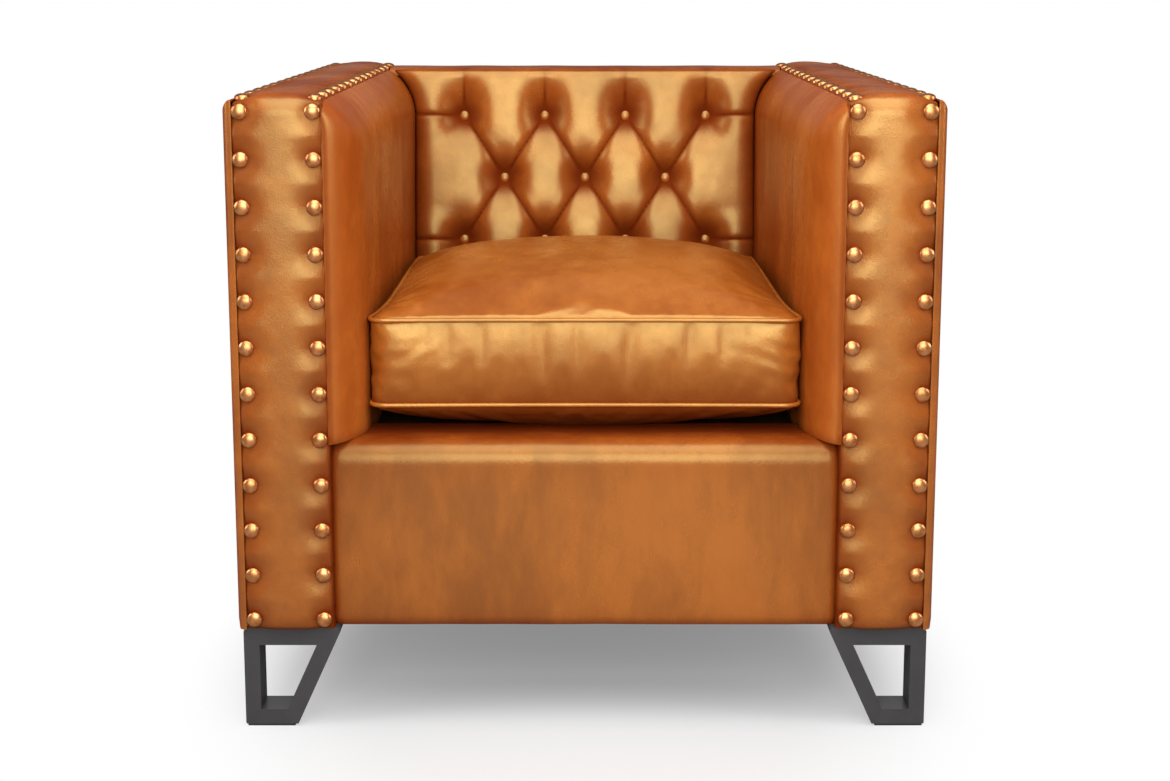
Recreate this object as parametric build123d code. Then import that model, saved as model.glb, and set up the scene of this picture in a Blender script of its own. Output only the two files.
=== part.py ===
from build123d import *
import os
from math import asin, atan2, cos, degrees, hypot, radians, sin, sqrt, tan

# Leather armchair with nailed arm bands, a tufted back and a loose seat cushion, in millimetres.
# The floor under the middle of the chair is the origin, -Y is the front and +Z is up.
# Left and right are as seen from the front.

# Overall form
WIDTH = 800.0
DEPTH = 835.0
ARM_TOP = 729.0
LEG_HEIGHT = 120.0
LEATHER = 2.0
FIT = 0.3

# Arm bands and their nails
RETURN_WIDTH = 10.5
EDGE_ROUND = 9.0
BAND_WIDTH = 99.0
BAND_PAD = 8.0
BAND_CROWN = 5.0
CORNER_ROUND = 20.0
NAIL_RADIUS = 9.2
NAIL_RISE = 5.0
NAIL_SHANK = 2.2
NAIL_LENGTH = 20.0
NAIL_INSET = 9.5
NAIL_BEDDING = 0.6
NAIL_END_GAP = 13.0
FRONT_NAILS = 12
TOP_NAILS = 15

# Inside arms
ARM_PAD = 38.0
ARM_ROLL = 100.0

# Wooden frame
BOARD = 22.0
PANEL = 9.0
SIDE_BOARD = 4.0
SEAT_RAIL_HEIGHT = 185.0
STAY_HEIGHT = 50.0
BLOCK_LEG = 120.0
BLOCK_HEIGHT = 60.0

# Seat deck
WEB_WIDTH = 50.0
WEB_THICKNESS = 2.0
WEB_WEAVE_GAP = 0.2
LENGTH_STRAPS = 5
CROSS_STRAPS = 4
STRAP_PITCH = 100.0
FELT = 4.0
DECK_FOAM = 18.5
DECK_CLOTH = 1.5

# Front rail upholstery
RAIL_SETBACK = 13.0
RAIL_CROWN = 5.0
LIP_DEPTH = 95.0
LIP_RISE = 3.5
LIP_ROUND = 18.0

# Tufted back
BACK_TOP_THICKNESS = 120.0
RAKE = 9.0
TUFT_PITCH = 120.0
TUFT_ROW = 92.5
TUFT_PUFF = 28.0
TUFT_BASE = 24.0
TUFT_DROP = 70.0
TUFT_FACETS = 4
BUTTON_RADIUS = 9.0
BUTTON_RISE = 6.0
TIE_RADIUS = 1.0
TIE_WASHER = 6.0
SIDE_PLEAT = 14.0

# Seat cushion
CUSHION_SETBACK = 60.0
CUSHION_REAR_GAP = 9.0
CUSHION_SIDE_GAP = 3.0
BOXING_CLEAR = 36.0
BOXING = 101.0
CUSHION_CROWN = 50.0
CUSHION_BELLY = 38.0
CUSHION_DRAW = 4.0
CUSHION_CORNER = 24.0
WELT_RADIUS = 2.6
ZIP_LENGTH = 420.0
ZIP_WIDTH = 26.0
ZIP_TAPE = 1.2
ZIP_TEETH = 1.6
ZIP_SLOT = 8.0
SLIDER_LENGTH = 14.0
SLIDER_WALL = 1.4

# Legs
LEG_TOP_WIDTH = 113.0
LEG_FOOT_WIDTH = 61.0
LEG_BAR = 18.0
LEG_DEPTH = 40.0
LEG_SIDE_INSET = 5.0
LEG_END_INSET = 7.0
LEG_ROUND = 2.0
PLATE = 3.0
PLATE_WING = 36.0
GLIDE = 3.0
GLIDE_EDGE = 2.0
DUST_CLOTH = 1.2
SCREW_RADIUS = 2.5
SCREW_HEAD = 5.0
SCREW_HEAD_HEIGHT = 3.0
SCREW_LENGTH = 28.0
SCREWS_PER_LEG = 2
SCREW_PITCH = 64.0

# Nails stand on the crowned face of the band, bedded a little into the leather
CROWN_RADIUS = (BAND_WIDTH**2 / 4 + BAND_CROWN**2) / (2 * BAND_CROWN)
NAIL_OFF = BAND_WIDTH / 2 - NAIL_INSET
NAIL_SEAT = BAND_CROWN - CROWN_RADIUS + sqrt(CROWN_RADIUS**2 - NAIL_OFF**2) - NAIL_BEDDING

# Reference planes that follow from the sizes above
SIDE = WIDTH / 2
FRONT = -DEPTH / 2 + max(NAIL_SEAT + NAIL_RISE, BAND_CROWN)
BACK = DEPTH / 2
BAND_OUTER = SIDE - RETURN_WIDTH
BAND_INNER = BAND_OUTER - BAND_WIDTH
INNER = BAND_INNER - ARM_PAD
FRAME_SIDE = SIDE - LEATHER - SIDE_BOARD
FRAME_FRONT = FRONT + LEATHER + BAND_PAD
FRAME_BACK = BACK - LEATHER - SIDE_BOARD
FRAME_TOP = ARM_TOP - LEATHER - BAND_PAD
FRAME_BOTTOM = LEG_HEIGHT + DUST_CLOTH
POST_REAR = FRAME_FRONT + BOARD
BACK_POST_FRONT = FRAME_BACK - BOARD
RAIL_TOP = FRAME_BOTTOM + SEAT_RAIL_HEIGHT
DECK_BASE = RAIL_TOP + 2 * WEB_THICKNESS + WEB_WEAVE_GAP
DECK_TOP = DECK_BASE + FELT + DECK_FOAM + DECK_CLOTH
RAIL_FACE = FRONT + RAIL_SETBACK
LIP_REAR = RAIL_FACE + LIP_DEPTH
LIP_TOP = DECK_TOP + LIP_RISE
BAND_REAR = BACK - RETURN_WIDTH

# The inside back leans: its plane of buttons starts at BACK_FOOT, where the tufts meet the deck
RAKE_SLOPE = tan(radians(RAKE))
BACK_FOOT = BACK - BACK_TOP_THICKNESS - (ARM_TOP - DECK_TOP) * RAKE_SLOPE
BACK_PLANE = Plane(
    origin=(0, BACK_FOOT + TUFT_PUFF / cos(radians(RAKE)), DECK_TOP),
    x_dir=(1, 0, 0),
    z_dir=(0, -cos(radians(RAKE)), sin(radians(RAKE))),
)
BACK_HEIGHT = (ARM_TOP - DECK_TOP) / cos(radians(RAKE))
TUFT_FIRST = BACK_HEIGHT - TUFT_DROP / cos(radians(RAKE))
TUFT_LAST = TUFT_FIRST - 2 * TUFT_ROW
PANEL_FACE = -TUFT_BASE - FIT
RAIL_PLANE = PANEL_FACE - PANEL

CUSHION_FRONT = FRONT + CUSHION_SETBACK
CUSHION_REAR = BACK_FOOT - CUSHION_REAR_GAP
CUSHION_HALF = INNER - CUSHION_SIDE_GAP - 2 * WELT_RADIUS - FIT
BOX_LOW = DECK_TOP + BOXING_CLEAR
BOX_HIGH = BOX_LOW + BOXING
ZIP_LEVEL = BOX_LOW + BOXING / 2

LEG_OUTER = SIDE - LEG_SIDE_INSET
FAR = 2 * max(WIDTH, DEPTH, ARM_TOP)


def block(x, y, z):
    """A square-edged block between two limits on each axis."""
    size = (x[1] - x[0], y[1] - y[0], z[1] - z[0])
    return Pos((x[0] + x[1]) / 2, (y[0] + y[1]) / 2, (z[0] + z[1]) / 2) * Box(*size)


def other_side(shape):
    """The same piece on the left of the chair."""
    return mirror(shape, about=Plane.YZ)


def front_profile(points_and_arcs, y):
    """A face drawn in X and Z, swept along Y between two limits."""
    face = Plane(origin=(0, y[0], 0), x_dir=(1, 0, 0), z_dir=(0, -1, 0)) * points_and_arcs
    return extrude(face, amount=y[1] - y[0], dir=(0, 1, 0))


def side_profile(points_and_arcs, x):
    """A face drawn in Y and Z, swept along X between two limits."""
    face = Plane(origin=(x[0], 0, 0), x_dir=(0, 1, 0), z_dir=(1, 0, 0)) * points_and_arcs
    return extrude(face, amount=x[1] - x[0], dir=(1, 0, 0))


def closed(*curves):
    return make_face(Curve() + list(curves))


def dome(radius, rise, sides):
    """Low dome in flat facets: two tapered rings on a sphere, the wider one on the XY plane."""
    sphere = (radius**2 + rise**2) / (2 * rise)
    spread = atan2(radius, sphere - rise)
    rings = []
    for share in (1, 0.64, 0.28):
        rings.append((sphere * sin(spread * share), rise - sphere + sphere * cos(spread * share)))
    solid = None
    for (wide, low), (narrow, high) in zip(rings[:-1], rings[1:]):
        inward = (wide - narrow) * cos(radians(180 / sides))
        face = Pos(0, 0, low) * RegularPolygon(wide, sides)
        ring = extrude(face, amount=high - low, taper=degrees(atan2(inward, high - low)))
        solid = ring if solid is None else solid + ring
    return solid


def save(shape, name):
    export_step(shape, "parts/" + name + ".step")


def save_pair(shape, name):
    save(shape, "right_" + name)
    save(other_side(shape), "left_" + name)


# Wooden frame
def frame_boards():
    seat = (FRAME_BOTTOM, RAIL_TOP)
    between_posts = (POST_REAR, BACK_POST_FRONT)
    inner_side = FRAME_SIDE - BOARD
    save(block((-inner_side, inner_side), (POST_REAR, POST_REAR + BOARD), seat), "front_rail")
    save(block((-inner_side, inner_side), (BACK_POST_FRONT - BOARD, BACK_POST_FRONT), seat), "back_rail")
    save_pair(block((inner_side, FRAME_SIDE), between_posts, seat), "side_rail")
    post = (FRAME_BOTTOM, FRAME_TOP - BOARD)
    save_pair(block((BAND_INNER, FRAME_SIDE), (FRAME_FRONT, POST_REAR), post), "front_post")
    save_pair(block((BAND_INNER, FRAME_SIDE), (BACK_POST_FRONT, FRAME_BACK), post), "back_post")
    rail = block((BAND_INNER, FRAME_SIDE), (FRAME_FRONT, FRAME_BACK), (FRAME_TOP - BOARD, FRAME_TOP))
    save_pair(rail, "arm_rail")
    stay = block((BAND_INNER, BAND_INNER + BOARD), between_posts, (DECK_BASE, DECK_BASE + STAY_HEIGHT))
    save_pair(stay, "arm_stay")


def screw_points():
    """Where the leg screws stand, as seen on the front right leg and turned to the other three."""
    first = LEG_OUTER - LEG_TOP_WIDTH + (LEG_TOP_WIDTH - (SCREWS_PER_LEG - 1) * SCREW_PITCH) / 2 - BOARD / 2
    y = FRONT + LEG_END_INSET + LEG_DEPTH + PLATE_WING / 2
    points = []
    for step in range(SCREWS_PER_LEG):
        points.append((first + step * SCREW_PITCH, y))
    return points


def four_corners(shape):
    """The front right piece and its copies at the other three corners."""
    middle = Plane(origin=(0, (FRONT + BACK) / 2, 0), x_dir=(1, 0, 0), z_dir=(0, 1, 0))
    rear = mirror(shape, about=middle)
    return [shape, other_side(shape), rear, other_side(rear)]


def corner_block():
    x = FRAME_SIDE - BOARD
    y = POST_REAR + BOARD
    face = make_face(Polyline((x, y), (x, y + BLOCK_LEG), (x - BLOCK_LEG, y), close=True))
    return extrude(Pos(0, 0, FRAME_BOTTOM) * face, amount=BLOCK_HEIGHT, dir=(0, 0, 1))


# Seat deck: straps woven over the rails, then felt, foam and cloth
def length_straps():
    straps = []
    for index in range(LENGTH_STRAPS):
        x = (index - (LENGTH_STRAPS - 1) / 2) * STRAP_PITCH
        across = (x - WEB_WIDTH / 2, x + WEB_WIDTH / 2)
        straps.append(block(across, (POST_REAR, BACK_POST_FRONT), (RAIL_TOP, RAIL_TOP + WEB_THICKNESS)))
    return straps


def cross_strap(first_over):
    """One strap that passes over and under the lengthwise straps in turn, as a bent line with thickness."""
    lift = WEB_THICKNESS + WEB_WEAVE_GAP
    end = FRAME_SIDE
    half = WEB_WIDTH / 2 + 4
    low = [(-end, RAIL_TOP)]
    start = -(LENGTH_STRAPS - 1) / 2 * STRAP_PITCH
    low.append((start - half - STRAP_PITCH / 4, RAIL_TOP))
    for index in range(LENGTH_STRAPS):
        x = start + index * STRAP_PITCH
        over = (index % 2 == 0) == first_over
        level = RAIL_TOP + (lift if over else -lift)
        low.append((x - half, level))
        low.append((x + half, level))
    low.append((-start + half + STRAP_PITCH / 4, RAIL_TOP))
    low.append((end, RAIL_TOP))
    high = [(x, z + WEB_THICKNESS) for x, z in reversed(low)]
    return make_face(Polyline(*low, *high, close=True))


def cross_straps():
    straps = []
    room = BACK_POST_FRONT - POST_REAR - 2 * BOARD
    for index in range(CROSS_STRAPS):
        y = POST_REAR + BOARD + room * (index + 0.5) / CROSS_STRAPS
        straps.append(front_profile(cross_strap(index % 2 == 0), (y - WEB_WIDTH / 2, y + WEB_WIDTH / 2)))
    return straps


def deck_layer(low, high):
    """A layer of the deck between the inside arms, from the lip to the foot of the back panel."""
    foot = BACK_PLANE.origin.Y - PANEL_FACE / cos(radians(RAKE))
    rear = foot - (DECK_TOP - DECK_BASE) * RAKE_SLOPE - FIT
    return block((-INNER + FIT, INNER - FIT), (LIP_REAR, rear), (low, high))


# Arms
def roll_section(inset):
    """Section of the inside arm's pad: a flat face, then a roll that ends at the frame.

    Across is measured from the inner face towards the frame, and along from the start of the roll."""
    radius = (ARM_PAD**2 + ARM_ROLL**2) / (2 * ARM_PAD)
    end = sqrt((radius - inset) ** 2 - (radius - ARM_PAD) ** 2)
    half = asin(end / (radius - inset)) / 2
    bend = (radius - (radius - inset) * cos(half), (radius - inset) * sin(half))
    behind = ARM_PAD + BOARD
    return closed(
        Polyline((ARM_PAD, end), (behind, end), (behind, -FAR), (inset, -FAR), (inset, 0)),
        ThreePointArc((inset, 0), bend, (ARM_PAD, end)),
    )


def inside_arm_form(inset):
    """Padded inside of the right arm, rolled in from the band at the top and at the front."""
    section = roll_section(inset)
    upright = Pos(INNER, ARM_TOP - LEATHER - ARM_ROLL) * section
    level = Pos(INNER, FRONT + LEATHER + ARM_ROLL) * mirror(section, about=Plane.XZ)
    return front_profile(upright, (-FAR, FAR)) & extrude(level, amount=FAR, dir=(0, 0, 1))


def behind_panel():
    """All the space behind the front face of the back panel."""
    return BACK_PLANE.location * Pos(0, 0, PANEL_FACE - FAR / 2) * Box(FAR, FAR, FAR)


def arm_room():
    """Where the pad of the right inside arm may be: on the frame, over the deck and before the back panel."""
    return block((0, BAND_INNER), (-FAR, FAR), (DECK_BASE, FAR)) - behind_panel()


def inside_arm(inset):
    return inside_arm_form(inset) & arm_room()


def inside_arm_cover():
    return (inside_arm_form(0) - inside_arm_form(LEATHER)) & arm_room()


def band_form(inset):
    """Crowned strip on the arm front that turns the corner and runs back along the arm top."""
    middle = (BAND_INNER + BAND_OUTER) / 2
    front = FRONT + inset
    front_face = closed(
        ThreePointArc((BAND_INNER, front), (middle, front - BAND_CROWN), (BAND_OUTER, front)),
        Polyline((BAND_OUTER, front), (BAND_OUTER, FAR), (BAND_INNER, FAR), (BAND_INNER, front)),
    )
    top = ARM_TOP - inset
    top_face = closed(
        ThreePointArc((BAND_INNER, top), (middle, top + BAND_CROWN), (BAND_OUTER, top)),
        Polyline((BAND_OUTER, top), (BAND_OUTER, 0), (BAND_INNER, 0), (BAND_INNER, top)),
    )
    edge_y = front - BAND_CROWN
    edge_z = top + BAND_CROWN
    radius = CORNER_ROUND - inset
    slope = radius * (1 - cos(radians(45)))
    corner = closed(
        Polyline(
            (edge_y, edge_z - radius), (edge_y, LEG_HEIGHT), (BAND_REAR, LEG_HEIGHT),
            (BAND_REAR, edge_z), (edge_y + radius, edge_z),
        ),
        ThreePointArc(
            (edge_y + radius, edge_z), (edge_y + slope, edge_z - slope), (edge_y, edge_z - radius)
        ),
    )
    upright = extrude(front_face, amount=FAR, dir=(0, 0, 1))
    along = front_profile(top_face, (-FAR, FAR))
    return upright & along & side_profile(corner, (BAND_INNER, BAND_OUTER))


def arm_band():
    return band_form(0) - band_form(LEATHER)


def band_foam():
    core = block((BAND_INNER - BOARD, SIDE), (FRAME_FRONT, BACK), (0, FRAME_TOP))
    below = block((BAND_INNER - BOARD, SIDE), (-FAR, FAR), (0, FRAME_BOTTOM))
    return band_form(LEATHER + FIT) - core - below


def outside_arm_form(inset):
    """Outer skin of the right arm, turned round the front, top and rear edges and open below."""
    solid = block(
        (BAND_OUTER - inset, SIDE - inset),
        (FRONT + inset, BACK - inset),
        (LEG_HEIGHT - inset, ARM_TOP - inset),
    )
    edges = solid.faces().sort_by(Axis.X)[-1].edges().sort_by(Axis.Z)[1:]
    return fillet(edges, EDGE_ROUND - inset)


def outside_arm_cover():
    return outside_arm_form(0) - outside_arm_form(LEATHER)


def outside_back_form(inset):
    """Outer skin of the back, turned over the top edge and open below."""
    solid = block(
        (-BAND_OUTER, BAND_OUTER), (BAND_REAR - inset, BACK - inset), (LEG_HEIGHT - inset, ARM_TOP - inset)
    )
    edge = solid.faces().sort_by(Axis.Y)[-1].edges().sort_by(Axis.Z)[-1]
    return fillet(edge, EDGE_ROUND - inset)


def outside_back_cover():
    return outside_back_form(0) - outside_back_form(LEATHER)


def nail():
    """Domed head with a square shank; the rim lies in the XY plane and the head points up."""
    shank = Pos(0, 0, -NAIL_LENGTH / 2) * Box(NAIL_SHANK, NAIL_SHANK, NAIL_LENGTH)
    return dome(NAIL_RADIUS, NAIL_RISE, 8) + shank


def arm_nails():
    """Two rows up the front and two along the top of the right arm."""
    one = nail()
    nails = []
    low = LEG_HEIGHT + NAIL_END_GAP
    step = (ARM_TOP - NAIL_END_GAP - low) / (FRONT_NAILS - 1)
    first = FRONT + NAIL_END_GAP + CORNER_ROUND / 2
    top_step = (BAND_REAR - 2 * NAIL_END_GAP - first) / (TOP_NAILS - 1)
    for x in (BAND_INNER + NAIL_INSET, BAND_OUTER - NAIL_INSET):
        for index in range(FRONT_NAILS):
            nails.append(Pos(x, FRONT - NAIL_SEAT, low + index * step) * Rot(90, 0, 0) * one)
        for index in range(TOP_NAILS):
            nails.append(Pos(x, first + index * top_step, ARM_TOP + NAIL_SEAT) * one)
    return nails


# Front rail upholstery: a padded face that rolls over into the lip under the cushion
def rail_form(inset):
    face = RAIL_FACE + inset
    top = LIP_TOP - inset
    radius = LIP_ROUND - inset
    slope = radius * (1 - cos(radians(45)))
    middle = (LEG_HEIGHT + LIP_TOP) / 2
    front = face + RAIL_CROWN
    section = closed(
        ThreePointArc((front, LEG_HEIGHT), (face, middle), (front, top - radius)),
        ThreePointArc((front, top - radius), (front + slope, top - slope), (front + radius, top)),
        Polyline(
            (front + radius, top), (LIP_REAR, top), (LIP_REAR, DECK_BASE), (POST_REAR, DECK_BASE),
            (POST_REAR, LEG_HEIGHT), (front, LEG_HEIGHT),
        ),
    )
    return side_profile(section, (-BAND_INNER + FIT, BAND_INNER - FIT))


def beside_arms(solid):
    """What is left of a front rail piece once both inside arms have their room."""
    arm = inside_arm(-FIT)
    return solid - arm - other_side(arm)


def front_rail_cover():
    return beside_arms(rail_form(0) - rail_form(LEATHER))


def front_rail_foam():
    below = block((-SIDE, SIDE), (-FAR, FAR), (0, FRAME_BOTTOM))
    return beside_arms(rail_form(LEATHER + FIT) - below)


# Tufted back: pillows between diagonal pleats, with straight pleats above and below the buttons
TUFT_SPAN = TUFT_PITCH * TUFT_ROW / hypot(TUFT_PITCH / 2, TUFT_ROW)
ARCH = TUFT_SPAN**2 / (8 * TUFT_PUFF) + TUFT_PUFF / 2


def arch_points(start, end):
    """Facet corners on one arch, from a place across it to another, both measured from its crown."""
    points = []
    for step in range(2 * TUFT_FACETS + 1):
        place = start + (end - start) * step / (2 * TUFT_FACETS)
        angle = asin(TUFT_SPAN / 2 / ARCH) * place / (TUFT_SPAN / 2)
        points.append((ARCH * sin(angle), TUFT_PUFF - ARCH + ARCH * cos(angle)))
    return points


def arch_profile():
    """Two arches between three grooves, level with the arch tops outside the grooves."""
    reach = TUFT_SPAN / 2
    edge = TUFT_SPAN + reach
    far = edge + WIDTH
    outline = [(-far, -WIDTH), (-far, TUFT_PUFF)]
    outline += [(x - edge, w) for x, w in arch_points(-reach, reach)[TUFT_FACETS:]]
    outline += [(x - reach, w) for x, w in arch_points(-reach, reach)[1:]]
    outline += [(x + reach, w) for x, w in arch_points(-reach, reach)[1:]]
    outline += [(x + edge, w) for x, w in arch_points(-reach, reach)[1:TUFT_FACETS + 1]]
    outline += [(far, TUFT_PUFF), (far, -WIDTH)]
    return make_face(Polyline(*outline, close=True))


def tuft_form(inset):
    """Tufted pad in its own plane: X across, Y up the back, Z out of it."""
    line = (-TUFT_PITCH / 2, -TUFT_ROW)
    length = hypot(*line)
    along = (line[0] / length, line[1] / length, 0)
    across = (-along[1], along[0], 0)
    plane = Plane(origin=(TUFT_PITCH / 2, TUFT_FIRST, 0), x_dir=across, z_dir=along)
    one_way = extrude(plane * arch_profile(), amount=FAR, both=True)
    middle = one_way & mirror(one_way, about=Plane.YZ)
    middle = middle & block((-SIDE, SIDE), (TUFT_LAST, TUFT_FIRST), (-WIDTH / 2, WIDTH))
    ends = middle.faces().filter_by(Axis.Y).sort_by(Axis.Y)
    above = extrude(ends[-1], amount=BACK_HEIGHT, dir=(0, 1, 0))
    below = extrude(ends[0], amount=BACK_HEIGHT, dir=(0, -1, 0))
    solid = middle + above + below
    brim = TUFT_PUFF + FIT
    pleat = make_face(
        Polyline((-SIDE_PLEAT, brim), (0, TUFT_PUFF - SIDE_PLEAT), (SIDE_PLEAT, brim), close=True)
    )
    outer = Plane(origin=(1.5 * TUFT_PITCH, 0, 0), x_dir=(0, 1, 0), z_dir=(1, 0, 0)) * pleat
    groove = extrude(outer, amount=WIDTH, dir=(1, 0, 0))
    for level in (TUFT_FIRST, TUFT_LAST):
        here = Pos(0, level, 0) * groove
        solid = solid - here - mirror(here, about=Plane.YZ)
    well = extrude(RegularPolygon(BUTTON_RADIUS + 2 * FIT + inset, 12), amount=WIDTH)
    for x, y in button_points():
        solid -= Pos(x, y, 0) * well
    solid = Pos(0, 0, -inset) * solid
    base = TUFT_BASE if inset == 0 else 2 * TUFT_BASE
    return solid & block((-FAR, FAR), (-FAR, FAR), (-base, FAR))


def button_points():
    """Two full rows of four with a row of three between them, in the plane of the back."""
    points = []
    for row in range(3):
        count = 3 if row % 2 else 4
        for index in range(count):
            points.append(((index - (count - 1) / 2) * TUFT_PITCH, TUFT_FIRST - row * TUFT_ROW))
    return points


def back_room(inset):
    """Room of the tufted back: from the deck to the top strip, out to the rolled inside arms."""
    half = BAND_INNER - FIT - inset
    room = block((-half, half), (-FAR, FAR), (DECK_TOP + FIT + inset, ARM_TOP - LEATHER - FIT - inset))
    arm = inside_arm_form(-FIT - inset)
    return room - arm - other_side(arm)


def tufted_pad(inset):
    return (BACK_PLANE.location * tuft_form(inset)) & back_room(inset)


def back_foam():
    rear = BACK_PLANE.location * block((-FAR, FAR), (-FAR, FAR), (-TUFT_BASE, FAR))
    return tufted_pad(LEATHER + FIT) & rear


def back_cover():
    return tufted_pad(0) - tufted_pad(LEATHER)


def tuft_buttons():
    one = dome(BUTTON_RADIUS, BUTTON_RISE, 12)
    return [BACK_PLANE.location * Pos(x, y, FIT) * one for x, y in button_points()]


def button_ties():
    """Cord from each button through the pad to a washer behind the panel."""
    cord = extrude(RegularPolygon(TIE_RADIUS, 6), amount=RAIL_PLANE)
    washer = extrude(Pos(0, 0, RAIL_PLANE) * RegularPolygon(TIE_WASHER, 6), amount=-DUST_CLOTH)
    one = cord + washer
    return [BACK_PLANE.location * Pos(x, y, 0) * one for x, y in button_points()]


def leaning_board(across, up, out):
    return BACK_PLANE.location * block(across, up, out)


def back_panel():
    low = FIT
    high = BACK_HEIGHT - (ARM_TOP - FRAME_TOP) - BOARD / 2
    return leaning_board((-BAND_INNER + FIT, BAND_INNER - FIT), (low, high), (RAIL_PLANE, PANEL_FACE))


def back_rails():
    across = (-BAND_INNER, BAND_INNER)
    out = (RAIL_PLANE - BOARD, RAIL_PLANE)
    stay = leaning_board(across, (-BOARD / 2, STAY_HEIGHT - BOARD / 2), out)
    save(stay, "back_stay_rail")
    crest = leaning_board(across, (TUFT_FIRST + BOARD / 2, BACK_HEIGHT), out)
    crest = crest & block((-FAR, FAR), (-FAR, FAR), (0, FRAME_TOP))
    save(crest, "back_crest_rail")
    top = block(across, (crest.bounding_box().max.Y, FRAME_BACK), (FRAME_TOP - BOARD, FRAME_TOP))
    save(top, "back_top_rail")


def back_top():
    """Leather strip on top of the back over a thin pad that starts behind the tufts."""
    seam = BACK - BACK_TOP_THICKNESS + TUFT_PUFF / 2
    cover = block((-BAND_INNER + FIT, BAND_INNER - FIT), (seam, BAND_REAR), (ARM_TOP - LEATHER, ARM_TOP))
    arm = inside_arm(-FIT)
    cover = cover - arm - other_side(arm)
    save(cover, "back_top_cover")
    pad = block((-BAND_INNER + FIT, BAND_INNER - FIT), (-FAR, BAND_REAR), (FRAME_TOP, ARM_TOP - LEATHER))
    save(pad & behind_panel(), "back_top_foam")


# Seat cushion
def cushion_plan(inset):
    """Outline with drawn-in front and sides and rounded corners."""
    half = CUSHION_HALF - inset
    front = CUSHION_FRONT + inset
    rear = CUSHION_REAR - inset
    middle = (front + rear) / 2
    face = closed(
        ThreePointArc((-half, front), (0, front + CUSHION_DRAW), (half, front)),
        ThreePointArc((half, front), (half - CUSHION_DRAW, middle), (half, rear)),
        Line((half, rear), (-half, rear)),
        ThreePointArc((-half, rear), (-half + CUSHION_DRAW, middle), (-half, front)),
    )
    return fillet(face.vertices(), CUSHION_CORNER - inset)


def crown_section(half, inset):
    """Crowned section of the cushion whose arcs run on past its edges."""
    reach = half + BOARD
    crown = CUSHION_CROWN
    belly = CUSHION_BELLY
    up = (half**2 + crown**2) / (2 * crown)
    down = (half**2 + belly**2) / (2 * belly)
    top = BOX_HIGH + crown - inset
    base = BOX_LOW - belly + inset
    top_edge = top - up + sqrt(up**2 - reach**2)
    base_edge = base + down - sqrt(down**2 - reach**2)
    return closed(
        ThreePointArc((-reach, top_edge), (0, top), (reach, top_edge)),
        Line((reach, top_edge), (reach, base_edge)),
        ThreePointArc((reach, base_edge), (0, base), (-reach, base_edge)),
        Line((-reach, base_edge), (-reach, top_edge)),
    )


def cushion_form(inset):
    half_depth = (CUSHION_REAR - CUSHION_FRONT) / 2
    middle = (CUSHION_REAR + CUSHION_FRONT) / 2
    solid = extrude(cushion_plan(inset), amount=FAR, dir=(0, 0, 1))
    solid = solid & front_profile(crown_section(CUSHION_HALF, inset), (-FAR, FAR))
    solid = solid & (Pos(0, middle, 0) * side_profile(crown_section(half_depth, inset), (-FAR, FAR)))
    return solid & block((-FAR, FAR), (-FAR, FAR), (DECK_TOP + FIT + inset, FAR))


def cushion_cover():
    """Leather case with the zip slot in its rear boxing."""
    slot = block(
        (-ZIP_LENGTH / 2 + ZIP_WIDTH / 2, ZIP_LENGTH / 2 - ZIP_WIDTH / 2),
        (CUSHION_REAR - LEATHER - FIT, CUSHION_REAR + FIT),
        (ZIP_LEVEL - ZIP_SLOT / 2, ZIP_LEVEL + ZIP_SLOT / 2),
    )
    return cushion_form(0) - cushion_form(LEATHER) - slot


def cushion_welts():
    """Two cords sewn into the top and bottom seams of the boxing."""
    path = offset(cushion_plan(0), amount=WELT_RADIUS + FIT).wire()
    start = path @ 0
    plane = Plane(origin=start, z_dir=path % 0)
    cord = sweep(plane * RegularPolygon(WELT_RADIUS, 6), path=path)
    return [Pos(0, 0, BOX_HIGH) * cord, Pos(0, 0, BOX_LOW) * cord]


def cushion_zip():
    half = ZIP_LENGTH / 2
    tape = block(
        (-half, half),
        (CUSHION_REAR, CUSHION_REAR + ZIP_TAPE),
        (ZIP_LEVEL - ZIP_WIDTH / 2, ZIP_LEVEL + ZIP_WIDTH / 2),
    )
    teeth = block(
        (-half, half),
        (CUSHION_REAR + ZIP_TAPE, CUSHION_REAR + ZIP_TAPE + ZIP_TEETH),
        (ZIP_LEVEL - ZIP_SLOT / 4, ZIP_LEVEL + ZIP_SLOT / 4),
    )
    return tape + teeth


def zip_slider():
    """Slider that straddles the closed teeth at the left end of the zip, with its pull tab."""
    x = -ZIP_LENGTH / 2 + SLIDER_LENGTH
    back = CUSHION_REAR + ZIP_TAPE + FIT
    outside = back + ZIP_TEETH + FIT + SLIDER_WALL
    half = ZIP_SLOT / 4 + FIT
    body = block(
        (x - SLIDER_LENGTH / 2, x + SLIDER_LENGTH / 2),
        (back, outside),
        (ZIP_LEVEL - half - SLIDER_WALL, ZIP_LEVEL + half + SLIDER_WALL),
    )
    track = block(
        (x - SLIDER_LENGTH, x + SLIDER_LENGTH),
        (0, outside - SLIDER_WALL),
        (ZIP_LEVEL - half, ZIP_LEVEL + half),
    )
    tab = block(
        (x - SLIDER_LENGTH / 4, x + SLIDER_LENGTH / 4),
        (outside - SLIDER_WALL, outside),
        (ZIP_LEVEL - half - 2 * SLIDER_LENGTH, ZIP_LEVEL),
    )
    return body - track + tab


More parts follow.
